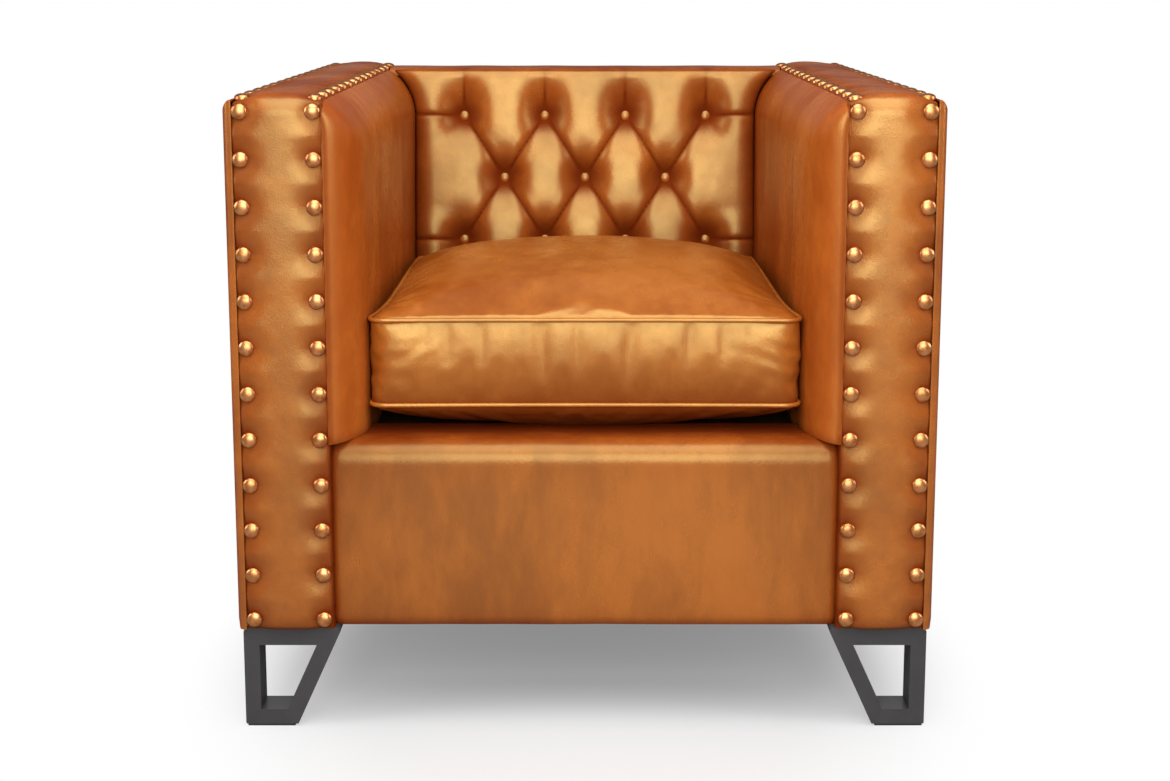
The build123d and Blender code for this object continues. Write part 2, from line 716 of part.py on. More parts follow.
# Legs, glides and fixings, drawn at the front right corner
def leg():
    low = GLIDE
    high = LEG_HEIGHT - PLATE
    foot = LEG_OUTER - LEG_FOOT_WIDTH
    head = LEG_OUTER - LEG_TOP_WIDTH
    lean = (foot - head) / (high - low)
    inner_bar = LEG_BAR * hypot(1, lean)
    outline = make_face(Polyline((LEG_OUTER, low), (LEG_OUTER, high), (head, high), (foot, low), close=True))
    window = make_face(
        Polyline(
            (LEG_OUTER - LEG_BAR, low + LEG_BAR),
            (LEG_OUTER - LEG_BAR, high - LEG_BAR),
            (head + lean * LEG_BAR + inner_bar, high - LEG_BAR),
            (foot - lean * LEG_BAR + inner_bar, low + LEG_BAR),
            close=True,
        )
    )
    front = FRONT + LEG_END_INSET
    bar = fillet(outline.vertices(), LEG_ROUND) - window
    frame = front_profile(bar, (front, front + LEG_DEPTH))
    rear = front + LEG_DEPTH + PLATE_WING
    plate = block((head + LEG_ROUND, LEG_OUTER - LEG_ROUND), (front, rear), (high, LEG_HEIGHT))
    for x, y in screw_points():
        plate -= Pos(x, y, high) * Cylinder(SCREW_RADIUS + FIT, 4 * PLATE)
    return frame + plate


def glide():
    front = FRONT + LEG_END_INSET
    return block(
        (LEG_OUTER - LEG_FOOT_WIDTH + 2 * GLIDE_EDGE, LEG_OUTER - GLIDE_EDGE),
        (front + GLIDE_EDGE, front + LEG_DEPTH - GLIDE_EDGE),
        (0, GLIDE),
    )


def leg_screws():
    screws = []
    for x, y in screw_points():
        seat = Pos(x, y, LEG_HEIGHT - PLATE)
        head = extrude(seat * RegularPolygon(SCREW_HEAD, 6), amount=-SCREW_HEAD_HEIGHT)
        shank = extrude(seat * RegularPolygon(SCREW_RADIUS, 8), amount=SCREW_LENGTH)
        screws.append(head + shank)
    return screws


def dust_cover():
    """Cloth under the frame, cut out where the leg screws go up into the corner blocks."""
    sheet = block(
        (-BAND_OUTER + FIT, BAND_OUTER - FIT),
        (POST_REAR - BOARD / 2, BAND_REAR - FIT),
        (LEG_HEIGHT, LEG_HEIGHT + DUST_CLOTH),
    )
    first, last = screw_points()[0], screw_points()[-1]
    room = 2 * SCREW_RADIUS
    slot = block((first[0] - room, last[0] + room), (first[1] - room, first[1] + room), (0, FRAME_BOTTOM))
    for opening in four_corners(slot):
        sheet -= opening
    return sheet


os.makedirs("parts", exist_ok=True)
frame_boards()
save(Compound(children=four_corners(corner_block())), "corner_blocks")
save(Compound(children=length_straps()), "length_webbing")
save(Compound(children=cross_straps()), "cross_webbing")
save(deck_layer(DECK_BASE, DECK_BASE + FELT), "deck_felt")
save(deck_layer(DECK_BASE + FELT, DECK_TOP - DECK_CLOTH), "deck_foam")
save(deck_layer(DECK_TOP - DECK_CLOTH, DECK_TOP), "deck_cloth")

save_pair(inside_arm(LEATHER + FIT), "arm_foam")
save_pair(inside_arm_cover(), "inside_arm_cover")
save_pair(arm_band(), "arm_band")
save_pair(band_foam(), "band_foam")
side_board = block((FRAME_SIDE, SIDE - LEATHER), (FRAME_FRONT, BAND_REAR), (FRAME_BOTTOM, FRAME_TOP))
save_pair(side_board, "outside_arm_board")
save_pair(outside_arm_cover(), "outside_arm_cover")
nails = arm_nails()
save(Compound(children=nails), "right_arm_nails")
save(Compound(children=[other_side(one) for one in nails]), "left_arm_nails")

save(front_rail_foam(), "front_rail_foam")
save(front_rail_cover(), "front_rail_cover")

save(back_foam(), "back_foam")
save(back_cover(), "back_cover")
save(Compound(children=tuft_buttons()), "tuft_buttons")
save(Compound(children=button_ties()), "button_ties")
save(back_panel(), "back_panel")
back_rails()
back_top()
rear_board = block((-BAND_OUTER, BAND_OUTER), (FRAME_BACK, BACK - LEATHER), (FRAME_BOTTOM, FRAME_TOP))
save(rear_board, "outside_back_board")
save(outside_back_cover(), "outside_back_cover")

save(cushion_form(LEATHER + FIT), "cushion_core")
save(cushion_cover(), "cushion_cover")
save(Compound(children=cushion_welts()), "cushion_welts")
save(cushion_zip(), "cushion_zip")
save(zip_slider(), "zip_slider")

legs = four_corners(leg())
for place, one in zip(("right_front", "left_front", "right_rear", "left_rear"), legs):
    save(one, place + "_leg")
save(Compound(children=four_corners(glide())), "foot_glides")
screws = []
for one in leg_screws():
    screws.extend(four_corners(one))
save(Compound(children=screws), "leg_screws")
save(dust_cover(), "dust_cover")
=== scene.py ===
from math import copysign, cos, exp, hypot, pi, radians, sin, sqrt, tan

import bmesh
import bpy
from mathutils import Matrix, Vector, noise


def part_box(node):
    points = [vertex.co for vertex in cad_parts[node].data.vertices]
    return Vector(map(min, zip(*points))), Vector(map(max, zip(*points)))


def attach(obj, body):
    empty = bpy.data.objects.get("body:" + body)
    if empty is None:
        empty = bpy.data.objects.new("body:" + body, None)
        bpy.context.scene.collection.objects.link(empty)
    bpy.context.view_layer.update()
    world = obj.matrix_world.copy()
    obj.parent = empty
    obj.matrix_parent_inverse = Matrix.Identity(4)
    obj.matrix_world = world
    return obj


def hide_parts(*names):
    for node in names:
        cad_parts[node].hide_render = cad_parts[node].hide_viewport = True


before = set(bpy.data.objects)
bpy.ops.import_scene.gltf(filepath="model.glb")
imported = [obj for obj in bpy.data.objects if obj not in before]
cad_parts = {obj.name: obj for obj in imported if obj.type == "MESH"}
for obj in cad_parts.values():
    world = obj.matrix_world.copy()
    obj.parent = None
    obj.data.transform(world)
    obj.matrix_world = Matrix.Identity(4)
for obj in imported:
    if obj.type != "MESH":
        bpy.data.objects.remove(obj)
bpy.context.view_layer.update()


# Wooden frame: rails, posts and corner blocks of planed hardwood, glued and screwed together, and
# closed with thin raw board on the outer sides. Upholstery hides it, and the solids stay as they are.
def connect(tree, made, inputs):
    """Set a node's inputs to values, or link them to what other nodes put out."""
    for name, value in inputs.items():
        if isinstance(value, bpy.types.NodeSocket):
            tree.links.new(value, made.inputs[name])
        else:
            made.inputs[name].default_value = value


def node(tree, kind, inputs=None, **settings):
    """Add a node with its options and its inputs."""
    made = tree.nodes.new(kind)
    for name, value in settings.items():
        setattr(made, name, value)
    connect(tree, made, inputs or {})
    return made


def blend_colours(tree, share, first, second):
    mix = node(tree, "ShaderNodeMix", {0: share, 6: first, 7: second}, data_type="RGBA")
    return mix.outputs[2]


def speckle(tree, place, scale, detail, roughness=0.5, distortion=0.0):
    """Soft random spots, as a value from 0 to 1."""
    return node(tree, "ShaderNodeTexNoise", {
        "Vector": place, "Scale": scale, "Detail": detail, "Roughness": roughness,
        "Distortion": distortion,
    }).outputs["Fac"]


def relief(tree, height, depth):
    """A normal that raises a height pattern of a real depth in metres."""
    bump = node(tree, "ShaderNodeBump", {"Strength": 1.0, "Distance": depth, "Height": height})
    return bump.outputs["Normal"]


def new_finish(name):
    finish = bpy.data.materials.new(name)
    finish.use_nodes = True
    tree = finish.node_tree
    place = node(tree, "ShaderNodeTexCoord").outputs["Object"]
    return finish, tree, tree.nodes["Principled BSDF"], place


def dress(finish, *names):
    """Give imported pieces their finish."""
    for name in names:
        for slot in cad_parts[name].material_slots:
            slot.material = finish


def both_sides(*names):
    return [side + name for side in ("left_", "right_") for name in names]


def timber(name, pale, dark, spacing):
    """Wood with rings that run along the chair's width."""
    finish, tree, shader, place = new_finish(name)
    turned = node(tree, "ShaderNodeMapping", {"Vector": place, "Scale": (0.12, 1.0, 1.0)}).outputs["Vector"]
    rings = node(tree, "ShaderNodeTexWave", {
        "Vector": turned, "Scale": spacing, "Distortion": 7.0, "Detail": 3.0, "Detail Scale": 1.4,
    })
    fibre = speckle(tree, turned, scale=420.0, detail=4.0)
    ringed = blend_colours(tree, rings.outputs["Fac"], pale, dark)
    connect(tree, shader, {
        "Base Color": blend_colours(tree, fibre, ringed, dark), "Roughness": 0.62,
        "Normal": relief(tree, fibre, depth=0.0003),
    })
    return finish


hardwood = timber("planed_hardwood", (0.66, 0.5, 0.32, 1), (0.42, 0.28, 0.15, 1), spacing=22.0)
raw_board = timber("raw_board", (0.47, 0.35, 0.23, 1), (0.33, 0.23, 0.14, 1), spacing=60.0)
dress(hardwood, "front_rail", "back_rail", "back_stay_rail", "back_crest_rail", "back_top_rail",
      "corner_blocks", *both_sides("side_rail", "front_post", "back_post", "arm_rail", "arm_stay"))
dress(raw_board, "back_panel", "outside_back_board", *both_sides("outside_arm_board"))


# Seat deck: straps of black elastic webbing woven over the rails, a layer of grey felt, and a foam pad
# under brown cloth that is stapled to the rails. The loose cushion lies on the cloth.
def new_group(name, inputs, outputs):
    """A shader group with its named sockets, and the two nodes that stand for them inside it."""
    group = bpy.data.node_groups.new(name, "ShaderNodeTree")
    for way, sockets in (("INPUT", inputs), ("OUTPUT", outputs)):
        for socket, kind in sockets:
            group.interface.new_socket(socket, in_out=way, socket_type="NodeSocket" + kind)
    return group, node(group, "NodeGroupInput"), node(group, "NodeGroupOutput")


def weave_group():
    """Over-and-under threads of plain cloth, as a height."""
    group, given, result = new_group(
        "plain_weave", (("Place", "Vector"), ("Threads", "Float")), (("Height", "Float"),)
    )
    shared = {"Vector": given.outputs["Place"], "Scale": given.outputs["Threads"]}
    warp = node(group, "ShaderNodeTexWave", shared, bands_direction="X")
    weft = node(group, "ShaderNodeTexWave", shared, bands_direction="Y")
    over = node(group, "ShaderNodeTexChecker", shared)
    height = node(group, "ShaderNodeMix", {
        0: over.outputs["Fac"], 2: warp.outputs["Fac"], 3: weft.outputs["Fac"],
    })
    group.links.new(height.outputs[0], result.inputs["Height"])
    return group


plain_weave = weave_group()


def woven(name, colour, shade, threads, depth):
    finish, tree, shader, place = new_finish(name)
    weave = node(tree, "ShaderNodeGroup", {"Place": place, "Threads": threads}, node_tree=plain_weave)
    height = weave.outputs["Height"]
    connect(tree, shader, {
        "Base Color": blend_colours(tree, height, shade, colour), "Roughness": 0.9,
        "Specular IOR Level": 0.08, "Normal": relief(tree, height, depth),
    })
    return finish


def felted(name, colour, shade, scale):
    """Pressed fibres without a weave."""
    finish, tree, shader, place = new_finish(name)
    fibre = speckle(tree, place, scale, detail=6.0, roughness=0.75, distortion=1.6)
    connect(tree, shader, {
        "Base Color": blend_colours(tree, fibre, shade, colour), "Roughness": 0.95,
        "Normal": relief(tree, fibre, depth=0.0006),
    })
    return finish


def sheet_form(columns, rows, place):
    """A fine grid laid on a surface; place gives each point and how much painted shade it gets."""
    form = bmesh.new()
    painted_shade = form.verts.layers.float.new("painted_shade")
    bmesh.ops.create_grid(form, x_segments=columns, y_segments=rows, size=0.5)
    for vert in form.verts:
        vert.co, vert[painted_shade] = place(vert.co.x + 0.5, vert.co.y + 0.5)
    form.normal_update()
    return form


def back_up(form, flatten):
    """Close a sheet to a solid whose hidden side lies where flatten puts it."""
    made = bmesh.ops.extrude_face_region(form, geom=form.faces[:])
    for part in made["geom"]:
        if isinstance(part, bmesh.types.BMVert):
            part.co = flatten(part.co)
    bmesh.ops.recalc_face_normals(form, faces=form.faces[:])


def new_piece(name, form, finish, fold=radians(55)):
    """Turn a form into an object with smooth faces and crisp folds."""
    form.normal_update()
    for face in form.faces:
        face.smooth = True
    for edge in form.edges:
        edge.smooth = len(edge.link_faces) == 2 and edge.calc_face_angle() < fold
    mesh = bpy.data.meshes.new(name)
    form.to_mesh(mesh)
    form.free()
    mesh.materials.append(finish)
    piece = bpy.data.objects.new(name, mesh)
    bpy.context.scene.collection.objects.link(piece)
    return piece


def near(gap, reach):
    """1 at a line, falling evenly to 0 at some reach from it."""
    return max(0.0, 1 - gap / reach)


DECK_EDGE = 0.006
DECK_SLACK = 0.0012
deck_low, deck_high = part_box("deck_cloth")
deck_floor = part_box("deck_foam")[0].z


def deck_point(across, along):
    x = deck_low.x + across * (deck_high.x - deck_low.x)
    y = deck_low.y + along * (deck_high.y - deck_low.y)
    edge = min(x - deck_low.x, deck_high.x - x, y - deck_low.y, deck_high.y - y)
    drop = DECK_EDGE * near(edge, 2 * DECK_EDGE) ** 2
    slack = DECK_SLACK * (1 + noise.noise((6 * x, 6 * y, 0)))
    return (x, y, deck_high.z - drop - slack), 0.0


deck_form = sheet_form(columns=84, rows=98, place=deck_point)
back_up(deck_form, lambda point: (point.x, point.y, deck_floor))
deck_cloth = woven(
    "deck_cloth", (0.06, 0.028, 0.012, 1), (0.02, 0.009, 0.004, 1), threads=520.0, depth=0.0004
)
seat_deck = new_piece("seat_deck", deck_form, deck_cloth)
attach(seat_deck, "chair")
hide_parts("deck_cloth", "deck_foam")
webbing = woven(
    "elastic_webbing", (0.13, 0.13, 0.14, 1), (0.03, 0.03, 0.03, 1), threads=380.0, depth=0.0006
)
dress(webbing, "length_webbing", "cross_webbing")
dress(felted("grey_felt", (0.42, 0.41, 0.39, 1), (0.2, 0.2, 0.2, 1), scale=260.0), "deck_felt")


# Inside arms: foam pads on the arm frames under cognac leather. Each rolls in from the band at the top
# and at the front, and the leather is pulled down behind the seat deck and stapled to the rail.
def reckon(tree, operation, *values):
    return node(tree, "ShaderNodeMath", dict(enumerate(values)), operation=operation).outputs[0]


FLECK_SHARE = 0.28
GRAIN_HEIGHT = 0.28
RIPPLE_HEIGHT = 1.4


def hide_group():
    """Aniline leather: cloudy dye, painted shade towards a dark brown where asked, and a fine pebbled
    grain.
    """
    group, given, result = new_group("hide", (
        ("Place", "Vector"), ("Painted Shade", "Float"), ("Pale", "Color"), ("Deep", "Color"), ("Shade Brown", "Color"),
    ), (("Color", "Color"), ("Roughness", "Float"), ("Height", "Float")))
    place = given.outputs["Place"]
    cloud = speckle(group, place, scale=6.5, detail=5.0, roughness=0.6, distortion=0.25)
    fleck = speckle(group, place, scale=48.0, detail=4.0, roughness=0.65, distortion=0.15)
    both = node(group, "ShaderNodeMix", {0: FLECK_SHARE, 2: cloud, 3: fleck})
    dye = node(group, "ShaderNodeMapRange", {
        "Value": both.outputs[0], "From Min": 0.36, "From Max": 0.66,
    }, interpolation_type="SMOOTHSTEP").outputs["Result"]
    colour = blend_colours(group, dye, given.outputs["Deep"], given.outputs["Pale"])
    polish = node(group, "ShaderNodeMapRange", {"Value": dye, "To Min": 0.34, "To Max": 0.25})
    pebble = node(group, "ShaderNodeTexVoronoi", {
        "Vector": place, "Scale": 620.0, "Smoothness": 0.6,
    }, feature="SMOOTH_F1")
    pores = speckle(group, place, scale=1500.0, detail=2.0)
    ripple = speckle(group, place, scale=34.0, detail=2.0)
    grain = reckon(group, "ADD", pebble.outputs["Distance"], pores)
    fine = reckon(group, "MULTIPLY", grain, GRAIN_HEIGHT)
    # The painted shade share blends the colour towards the dark painted shade brown.
    connect(group, result, {
        "Color": blend_colours(group, given.outputs["Painted Shade"], colour, given.outputs["Shade Brown"]),
        "Roughness": polish.outputs["Result"],
        "Height": reckon(group, "MULTIPLY_ADD", ripple, RIPPLE_HEIGHT, fine),
    })
    return group


hide = hide_group()
PAINTED_SHADE_BROWN = (0.13, 0.018, 0.003, 1)


def leather(name, pale, deep, streak=(1.0, 1.0, 1.0)):
    """Waxed leather with clouds drawn out by streak and painted shade; its gloss fades in the shade and
    where it turns away.
    """
    finish, tree, shader, place = new_finish(name)
    drawn = node(tree, "ShaderNodeMapping", {"Vector": place, "Scale": streak})
    painted_shade = node(tree, "ShaderNodeAttribute", attribute_name="painted_shade").outputs["Fac"]
    skin = node(tree, "ShaderNodeGroup", {
        "Place": drawn.outputs["Vector"], "Painted Shade": painted_shade, "Pale": pale, "Deep": deep, "Shade Brown": PAINTED_SHADE_BROWN,
    }, node_tree=hide)
    facing = node(tree, "ShaderNodeLayerWeight", {"Blend": 0.5}).outputs["Facing"]
    waxed = node(tree, "ShaderNodeMapRange", {
        "Value": facing, "From Min": 0.27, "From Max": 0.65, "To Min": 1.0, "To Max": 0.03,
    }).outputs["Result"]
    gloss = node(tree, "ShaderNodeMapRange", {
        "Value": painted_shade, "From Max": 0.8, "To Min": waxed, "To Max": 0.0,
    }).outputs["Result"]
    connect(tree, shader, {
        "Base Color": skin.outputs["Color"], "Roughness": skin.outputs["Roughness"], "IOR": 1.6,
        "Specular Tint": (1.0, 0.86, 0.33, 1), "Specular IOR Level": gloss,
        "Normal": relief(tree, skin.outputs["Height"], depth=0.00035),
    })
    return finish


def unit(value):
    """Hold a share between 0 and 1."""
    return min(max(value, 0.0), 1.0)


def fade(gap, reach):
    """1 at a line, dying away softly over some reach."""
    return exp(-gap / reach)


SIDES = ((-1, "left"), (1, "right"))
RAKE = radians(9)
FRONT_ROLL = 0.1
TOP_ROLL = 0.07
ROLL_BLEND = 2.6
PIECE_GAP = 0.0005
LIP_STEP = 0.012
LIP_GAP = 0.0004
ARM_BEHIND_BAND = 0.0077
ARM_PAST_PANEL = 0.0182
ARM_SLACK = 0.0036
ARM_RIPPLE = 0.0006
ARM_TIGHT_TOP = 0.09
ARM_TIGHT_FRONT = 0.06
ARM_FRONT_SEAM = 0.004
ARM_FOOT_SEAM = 0.01
ARM_CORNER = 0.055
ARM_CORNER_FADE = 0.012
band_low, band_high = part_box("right_arm_band")
arm_low, arm_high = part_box("right_inside_arm_cover")
rail_low, rail_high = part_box("front_rail_cover")
panel_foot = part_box("back_panel")[0].y
arm_pad = arm_high.x - arm_low.x
arm_front = band_low.y + ARM_BEHIND_BAND
lip_level = rail_high.z + LIP_GAP


def roll_off(distance, reach):
    """How far the pad has rolled back towards the frame at a distance along a roll of some reach."""
    radius = (arm_pad**2 + reach**2) / (2 * arm_pad)
    distance = min(max(distance, 0.0), reach)
    return radius - sqrt(radius**2 - distance**2)


def over_top(z):
    return roll_off(z - (arm_high.z - TOP_ROLL), TOP_ROLL)


def arm_face(y, z):
    """Where the pad's face is, measured from the chair's middle."""
    inward = unit((arm_front + FRONT_ROLL - y) / FRONT_ROLL)
    full_round = arm_pad * (1 - sqrt(1 - inward**2))
    round_front = (roll_off(inward * FRONT_ROLL, FRONT_ROLL) + full_round) / 2
    rolled = (over_top(z) ** ROLL_BLEND + round_front**ROLL_BLEND) ** (1 / ROLL_BLEND)
    return arm_low.x + min(rolled, arm_pad)


def arm_point(side, along, up):
    """Rows are closer together where the pad rolls in at the front and at the top."""
    rear = panel_foot + ARM_PAST_PANEL + (up * arm_high.z - deck_high.z) * tan(RAKE)
    y = arm_front + (rear - arm_front) * (1 - cos(along * pi / 2))
    foot = lip_level - unit((y - rail_high.y) / LIP_STEP) * (lip_level - arm_low.z)
    z = foot + (arm_high.z - foot) * sin(up * pi / 2)
    ease = min(1.0, (arm_high.z - z) / ARM_TIGHT_TOP) * min(1.0, (y - arm_front) / ARM_TIGHT_FRONT)
    slack = ARM_SLACK * noise.noise((10 * y, 2.2 * z, 5 + side))
    slack += ARM_RIPPLE * noise.noise((27 * y, 4 * z, side))
    x = arm_face(y, z) - slack * ease
    # Painted shade along the front seam and the foot, and in the rear corner by the back.
    seam = near(y - arm_front, ARM_FRONT_SEAM) + near(z - foot, ARM_FOOT_SEAM)
    corner = fade(max(0.0, rear - ARM_CORNER - y), ARM_CORNER_FADE)
    return (side * x, y, z), min(0.75, 0.6 * seam + 0.45 * corner)


# A lighter copy of the leather for the inside arms: painted light for the light their sides lack.
arm_leather_painted_light = leather(
    "arm_leather_painted_light", (0.48, 0.122, 0.017, 1), (0.33, 0.064, 0.007, 1), streak=(1.0, 1.0, 0.5)
)
for side, word in SIDES:
    pad_form = sheet_form(columns=120, rows=90, place=lambda along, up: arm_point(side, along, up))
    back_up(pad_form, lambda point: (side * (arm_high.x + PIECE_GAP), point.y, point.z))
    inside_arm = new_piece(word + "_inside_arm", pad_form, arm_leather_painted_light)
    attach(inside_arm, "chair")
    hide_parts(word + "_inside_arm_cover", word + "_arm_foam")


# Front rail: leather over thin foam on the seat rail. It is crowned a little, rolls over into a lip
# under the cushion, and its ends are tucked in behind the arm bands.
RAIL_BOW = 0.003
RAIL_TUCK = 0.003
RAIL_END = 0.012
RAIL_HEM = 0.01
RAIL_SLACK = 0.0012
RAIL_RIPPLE = 0.0006
RAIL_TIGHT_END = 0.05
RAIL_END_SEAM = 0.006
RAIL_END_SHADE = 0.045
RAIL_HEM_SHADE = 0.008
LIP_ROUND = 0.03
LIP_FULLNESS = 2.6
LIP_SHADE_START = 0.018
LIP_SHADE = 0.036
LEATHER_SHELL = 0.004
rail_face = rail_high.z - LIP_ROUND - rail_low.z
rail_arc = LIP_ROUND * pi / 2
rail_length = rail_face + rail_arc + rail_high.y - (rail_low.y + LIP_ROUND)


def rail_point(across, up):
    """Up the face, round the lip and back under the cushion; the top of the face and the lip's round get
    painted shade and less gloss.
    """
    run = up * rail_length
    if run < rail_face:
        y, z = rail_low.y + RAIL_BOW * near(run / rail_face, 0.5) ** 2, rail_low.z + run
        out, lift = -1.0, 0.0
        dull_and_painted_shade = 0.14 * fade(rail_face - run, LIP_ROUND)
    elif run < rail_face + rail_arc:
        angle = (run - rail_face) / LIP_ROUND
        y = rail_low.y + LIP_ROUND * (1 - max(cos(angle), 0.0) ** (2 / LIP_FULLNESS))
        z = rail_high.z - LIP_ROUND * (1 - sin(angle) ** (2 / LIP_FULLNESS))
        out, lift = -cos(angle), sin(angle)
        dull_and_painted_shade = 0.14 * cos(angle) + 0.18 * sin(2 * angle)
    else:
        y, z = rail_low.y + LIP_ROUND + run - rail_face - rail_arc, rail_high.z
        out, lift = 0.0, 1.0
        dull_and_painted_shade = 0.0
    x = rail_high.x * sin((across - 0.5) * pi)
    inward = rail_high.x - abs(x)
    swell = RAIL_SLACK * noise.noise((9 * x, 3 * z, 2)) + RAIL_RIPPLE * noise.noise((34 * x, 4 * z, 7))
    out_by = swell * min(1.0, inward / RAIL_TIGHT_END)
    out_by -= RAIL_TUCK * (near(inward, RAIL_END) ** 2 + near(run, RAIL_HEM) ** 2)
    # Painted shade at both tucked ends and along the hem, and a painted shadow of the cushion deepening
    # back over the lip.
    painted_shade = 0.6 * near(inward, RAIL_END_SEAM) + 0.22 * fade(inward, RAIL_END_SHADE)
    painted_shade += 0.6 * fade(run, RAIL_HEM_SHADE)
    cushion_shadow = 0.95 * max(0.0, (y - rail_low.y - LIP_SHADE_START) / LIP_SHADE)
    return (x, y + out * out_by, z + lift * out_by), min(0.95, painted_shade + cushion_shadow + dull_and_painted_shade)


rail_form = sheet_form(columns=150, rows=140, place=rail_point)
bmesh.ops.solidify(rail_form, geom=rail_form.faces[:], thickness=LEATHER_SHELL)
rail_leather = leather(
    "rail_leather", (0.37, 0.09, 0.0115, 1), (0.2, 0.034, 0.0036, 1), streak=(1.0, 1.0, 0.35)
)
front_rail = new_piece("front_rail_pad", rail_form, rail_leather)
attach(front_rail, "chair")
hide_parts("front_rail_cover", "front_rail_foam")


# Tufted back: leather over deep foam on the leaning panel, drawn in by buttons in a diamond pattern.
# The leather is folded into a pleat from button to button, straight up and down and out to the arms.
TUFT_PITCH = 0.12
TUFT_ROW = 0.0925
TUFT_FIRST = 0.32865
TUFT_PUFF = 0.028
TUFT_BASE = 0.024
TUFT_DROP = 0.0145
TUFT_RIPPLE = 0.0009
TUFT_FLAT_TOP = 0.05
TUFT_SIDE_ROLL, TUFT_SIDE_REACH = 0.013, 0.03
TUFT_TOP_ROLL, TUFT_TOP_REACH = 0.007, 0.014
TUFT_SIDE_SHADE = 0.018
TUFT_TOP_SHADE = 0.003
TUFT_FOOT_SHADE = 0.16
BUTTON_PIT, PIT_RADIUS = 0.0115, 0.019
BUTTON_SHADE = 0.026
PLEAT_LINE = 0.0017
PLEAT_SHADE = 0.006
PLEAT_PAST = 0.1
DIAGONAL_PLEAT = {"width": 0.014, "depth": 0.0075}
STRAIGHT_PLEAT = {"width": 0.01, "depth": 0.0035}
SIDE_PLEAT = {"width": 0.01, "depth": 0.0045}
BACK_FOOT = 0.26335
BACK_START = 0.001
BACK_BELOW_BAND = 0.0065
BACK_TOP_SEAM = 0.0028
cognac = leather("cognac_leather", (0.365, 0.088, 0.011, 1), (0.22, 0.038, 0.004, 1))
back_origin = Vector((0, BACK_FOOT, deck_high.z))
back_up_way = Vector((0, sin(RAKE), cos(RAKE)))
back_out_way = Vector((0, -cos(RAKE), sin(RAKE)))
back_half = arm_low.x - PIECE_GAP
back_tall = (band_high.z - BACK_BELOW_BAND - deck_high.z) / cos(RAKE) - BACK_TOP_SEAM

button_rows = []
for row in range(3):
    count = 3 if row == 1 else 4
    level = TUFT_FIRST - row * TUFT_ROW
    button_rows.append([((index - (count - 1) / 2) * TUFT_PITCH, level) for index in range(count)])
buttons = [spot for row in button_rows for spot in row]
pleats = []
for middle in button_rows[1]:
    for spot in button_rows[0] + button_rows[2]:
        if abs(spot[0] - middle[0]) < TUFT_PITCH:
            pleats.append((middle, spot, DIAGONAL_PLEAT))
for row, past_edge in ((button_rows[0], back_tall + PLEAT_PAST), (button_rows[2], -PLEAT_PAST)):
    for spot in row:
        pleats.append((spot, (spot[0], past_edge), STRAIGHT_PLEAT))
    for end, way in ((row[0], -1), (row[-1], 1)):
        pleats.append((end, (way * (back_half + PLEAT_PAST), end[1]), SIDE_PLEAT))


def from_pleat(start, end, u, v):
    (u0, v0), (u1, v1) = start, end
    du, dv = u1 - u0, v1 - v0
    share = unit(((u - u0) * du + (v - v0) * dv) / (du * du + dv * dv))
    return hypot(u - u0 - share * du, v - v0 - share * dv)


def round_off(depth, gap, reach):
    """How far a soft edge falls away at a gap from it, over a quarter round of some reach."""
    return depth * (1 - sqrt(1 - (1 - unit(gap / reach)) ** 2))


def bell(gap, reach, power=2):
    """1 at a line, with a rounded top, dying away past some reach."""
    return exp(-((gap / reach) ** power))


def pillow_wave(u, v):
    """From 1 at a button to 0 on top of a pillow, with straight flutes above and below the rows."""
    level = min(max(v, TUFT_FIRST - 2 * TUFT_ROW), TUFT_FIRST)
    row = cos(pi * (level - TUFT_FIRST + TUFT_ROW) / TUFT_ROW)
    soft = sqrt(row * row + 0.1)
    beside = cos(2 * pi * min(abs(u), 1.5 * TUFT_PITCH) / TUFT_PITCH)
    outside = cos(2 * pi * min(abs(u), 2 * TUFT_PITCH) / TUFT_PITCH)
    wave = 0.5 * (row + soft) * beside + 0.5 * (row - soft) * outside
    return unit((1 + wave) / 2) ** 2


def tuft_point(across, up):
    """u runs across the panel, v up it and w out of it."""
    v = BACK_START + up * (back_tall - BACK_START)
    side_edge = arm_low.x + over_top(deck_high.z + v * cos(RAKE)) - PIECE_GAP
    u = (across - 0.5) * 2 * side_edge
    from_side, from_top = side_edge - abs(u), back_tall - v
    nearest, fold = 1.0, 0.0
    for start, end, pleat in pleats:
        gap = from_pleat(start, end, u, v)
        nearest = min(nearest, gap)
        fold = max(fold, round_off(pleat["depth"], gap, pleat["width"]))
    button = min(hypot(u - spot[0], v - spot[1]) for spot in buttons)
    pit = bell(button, PIT_RADIUS, power=1.7)
    flat = unit(1 - from_top / TUFT_FLAT_TOP)
    level = 1 - 0.85 * flat * flat * (3 - 2 * flat)
    w = TUFT_PUFF - TUFT_DROP * level * pillow_wave(u, v) - BUTTON_PIT * pit - fold * level * (1 - pit)
    w -= round_off(TUFT_SIDE_ROLL, from_side, TUFT_SIDE_REACH)
    w -= round_off(TUFT_TOP_ROLL, from_top, TUFT_TOP_REACH)
    w += TUFT_RIPPLE * noise.noise((26 * u, 9 * v, 3)) * (1 - pit)
    # Painted shade: thin dark lines in the pleats, dark round the buttons, darker at the foot, beside the
    # arms and at the top.
    painted_shade = 0.9 * level * bell(nearest, PLEAT_LINE) + 0.12 * fade(nearest, PLEAT_SHADE)
    painted_shade += 0.95 * bell(button, BUTTON_SHADE) + 0.5 * near(v, TUFT_FOOT_SHADE)
    painted_shade += 0.85 * fade(from_side, TUFT_SIDE_SHADE) + 0.3 * fade(from_top, TUFT_TOP_SHADE)
    point = back_origin + Vector((u, 0, 0)) + v * back_up_way + w * back_out_way
    return point, min(0.92, painted_shade)


def to_panel(point):
    return point - (point - back_origin).dot(back_out_way) * back_out_way - TUFT_BASE * back_out_way


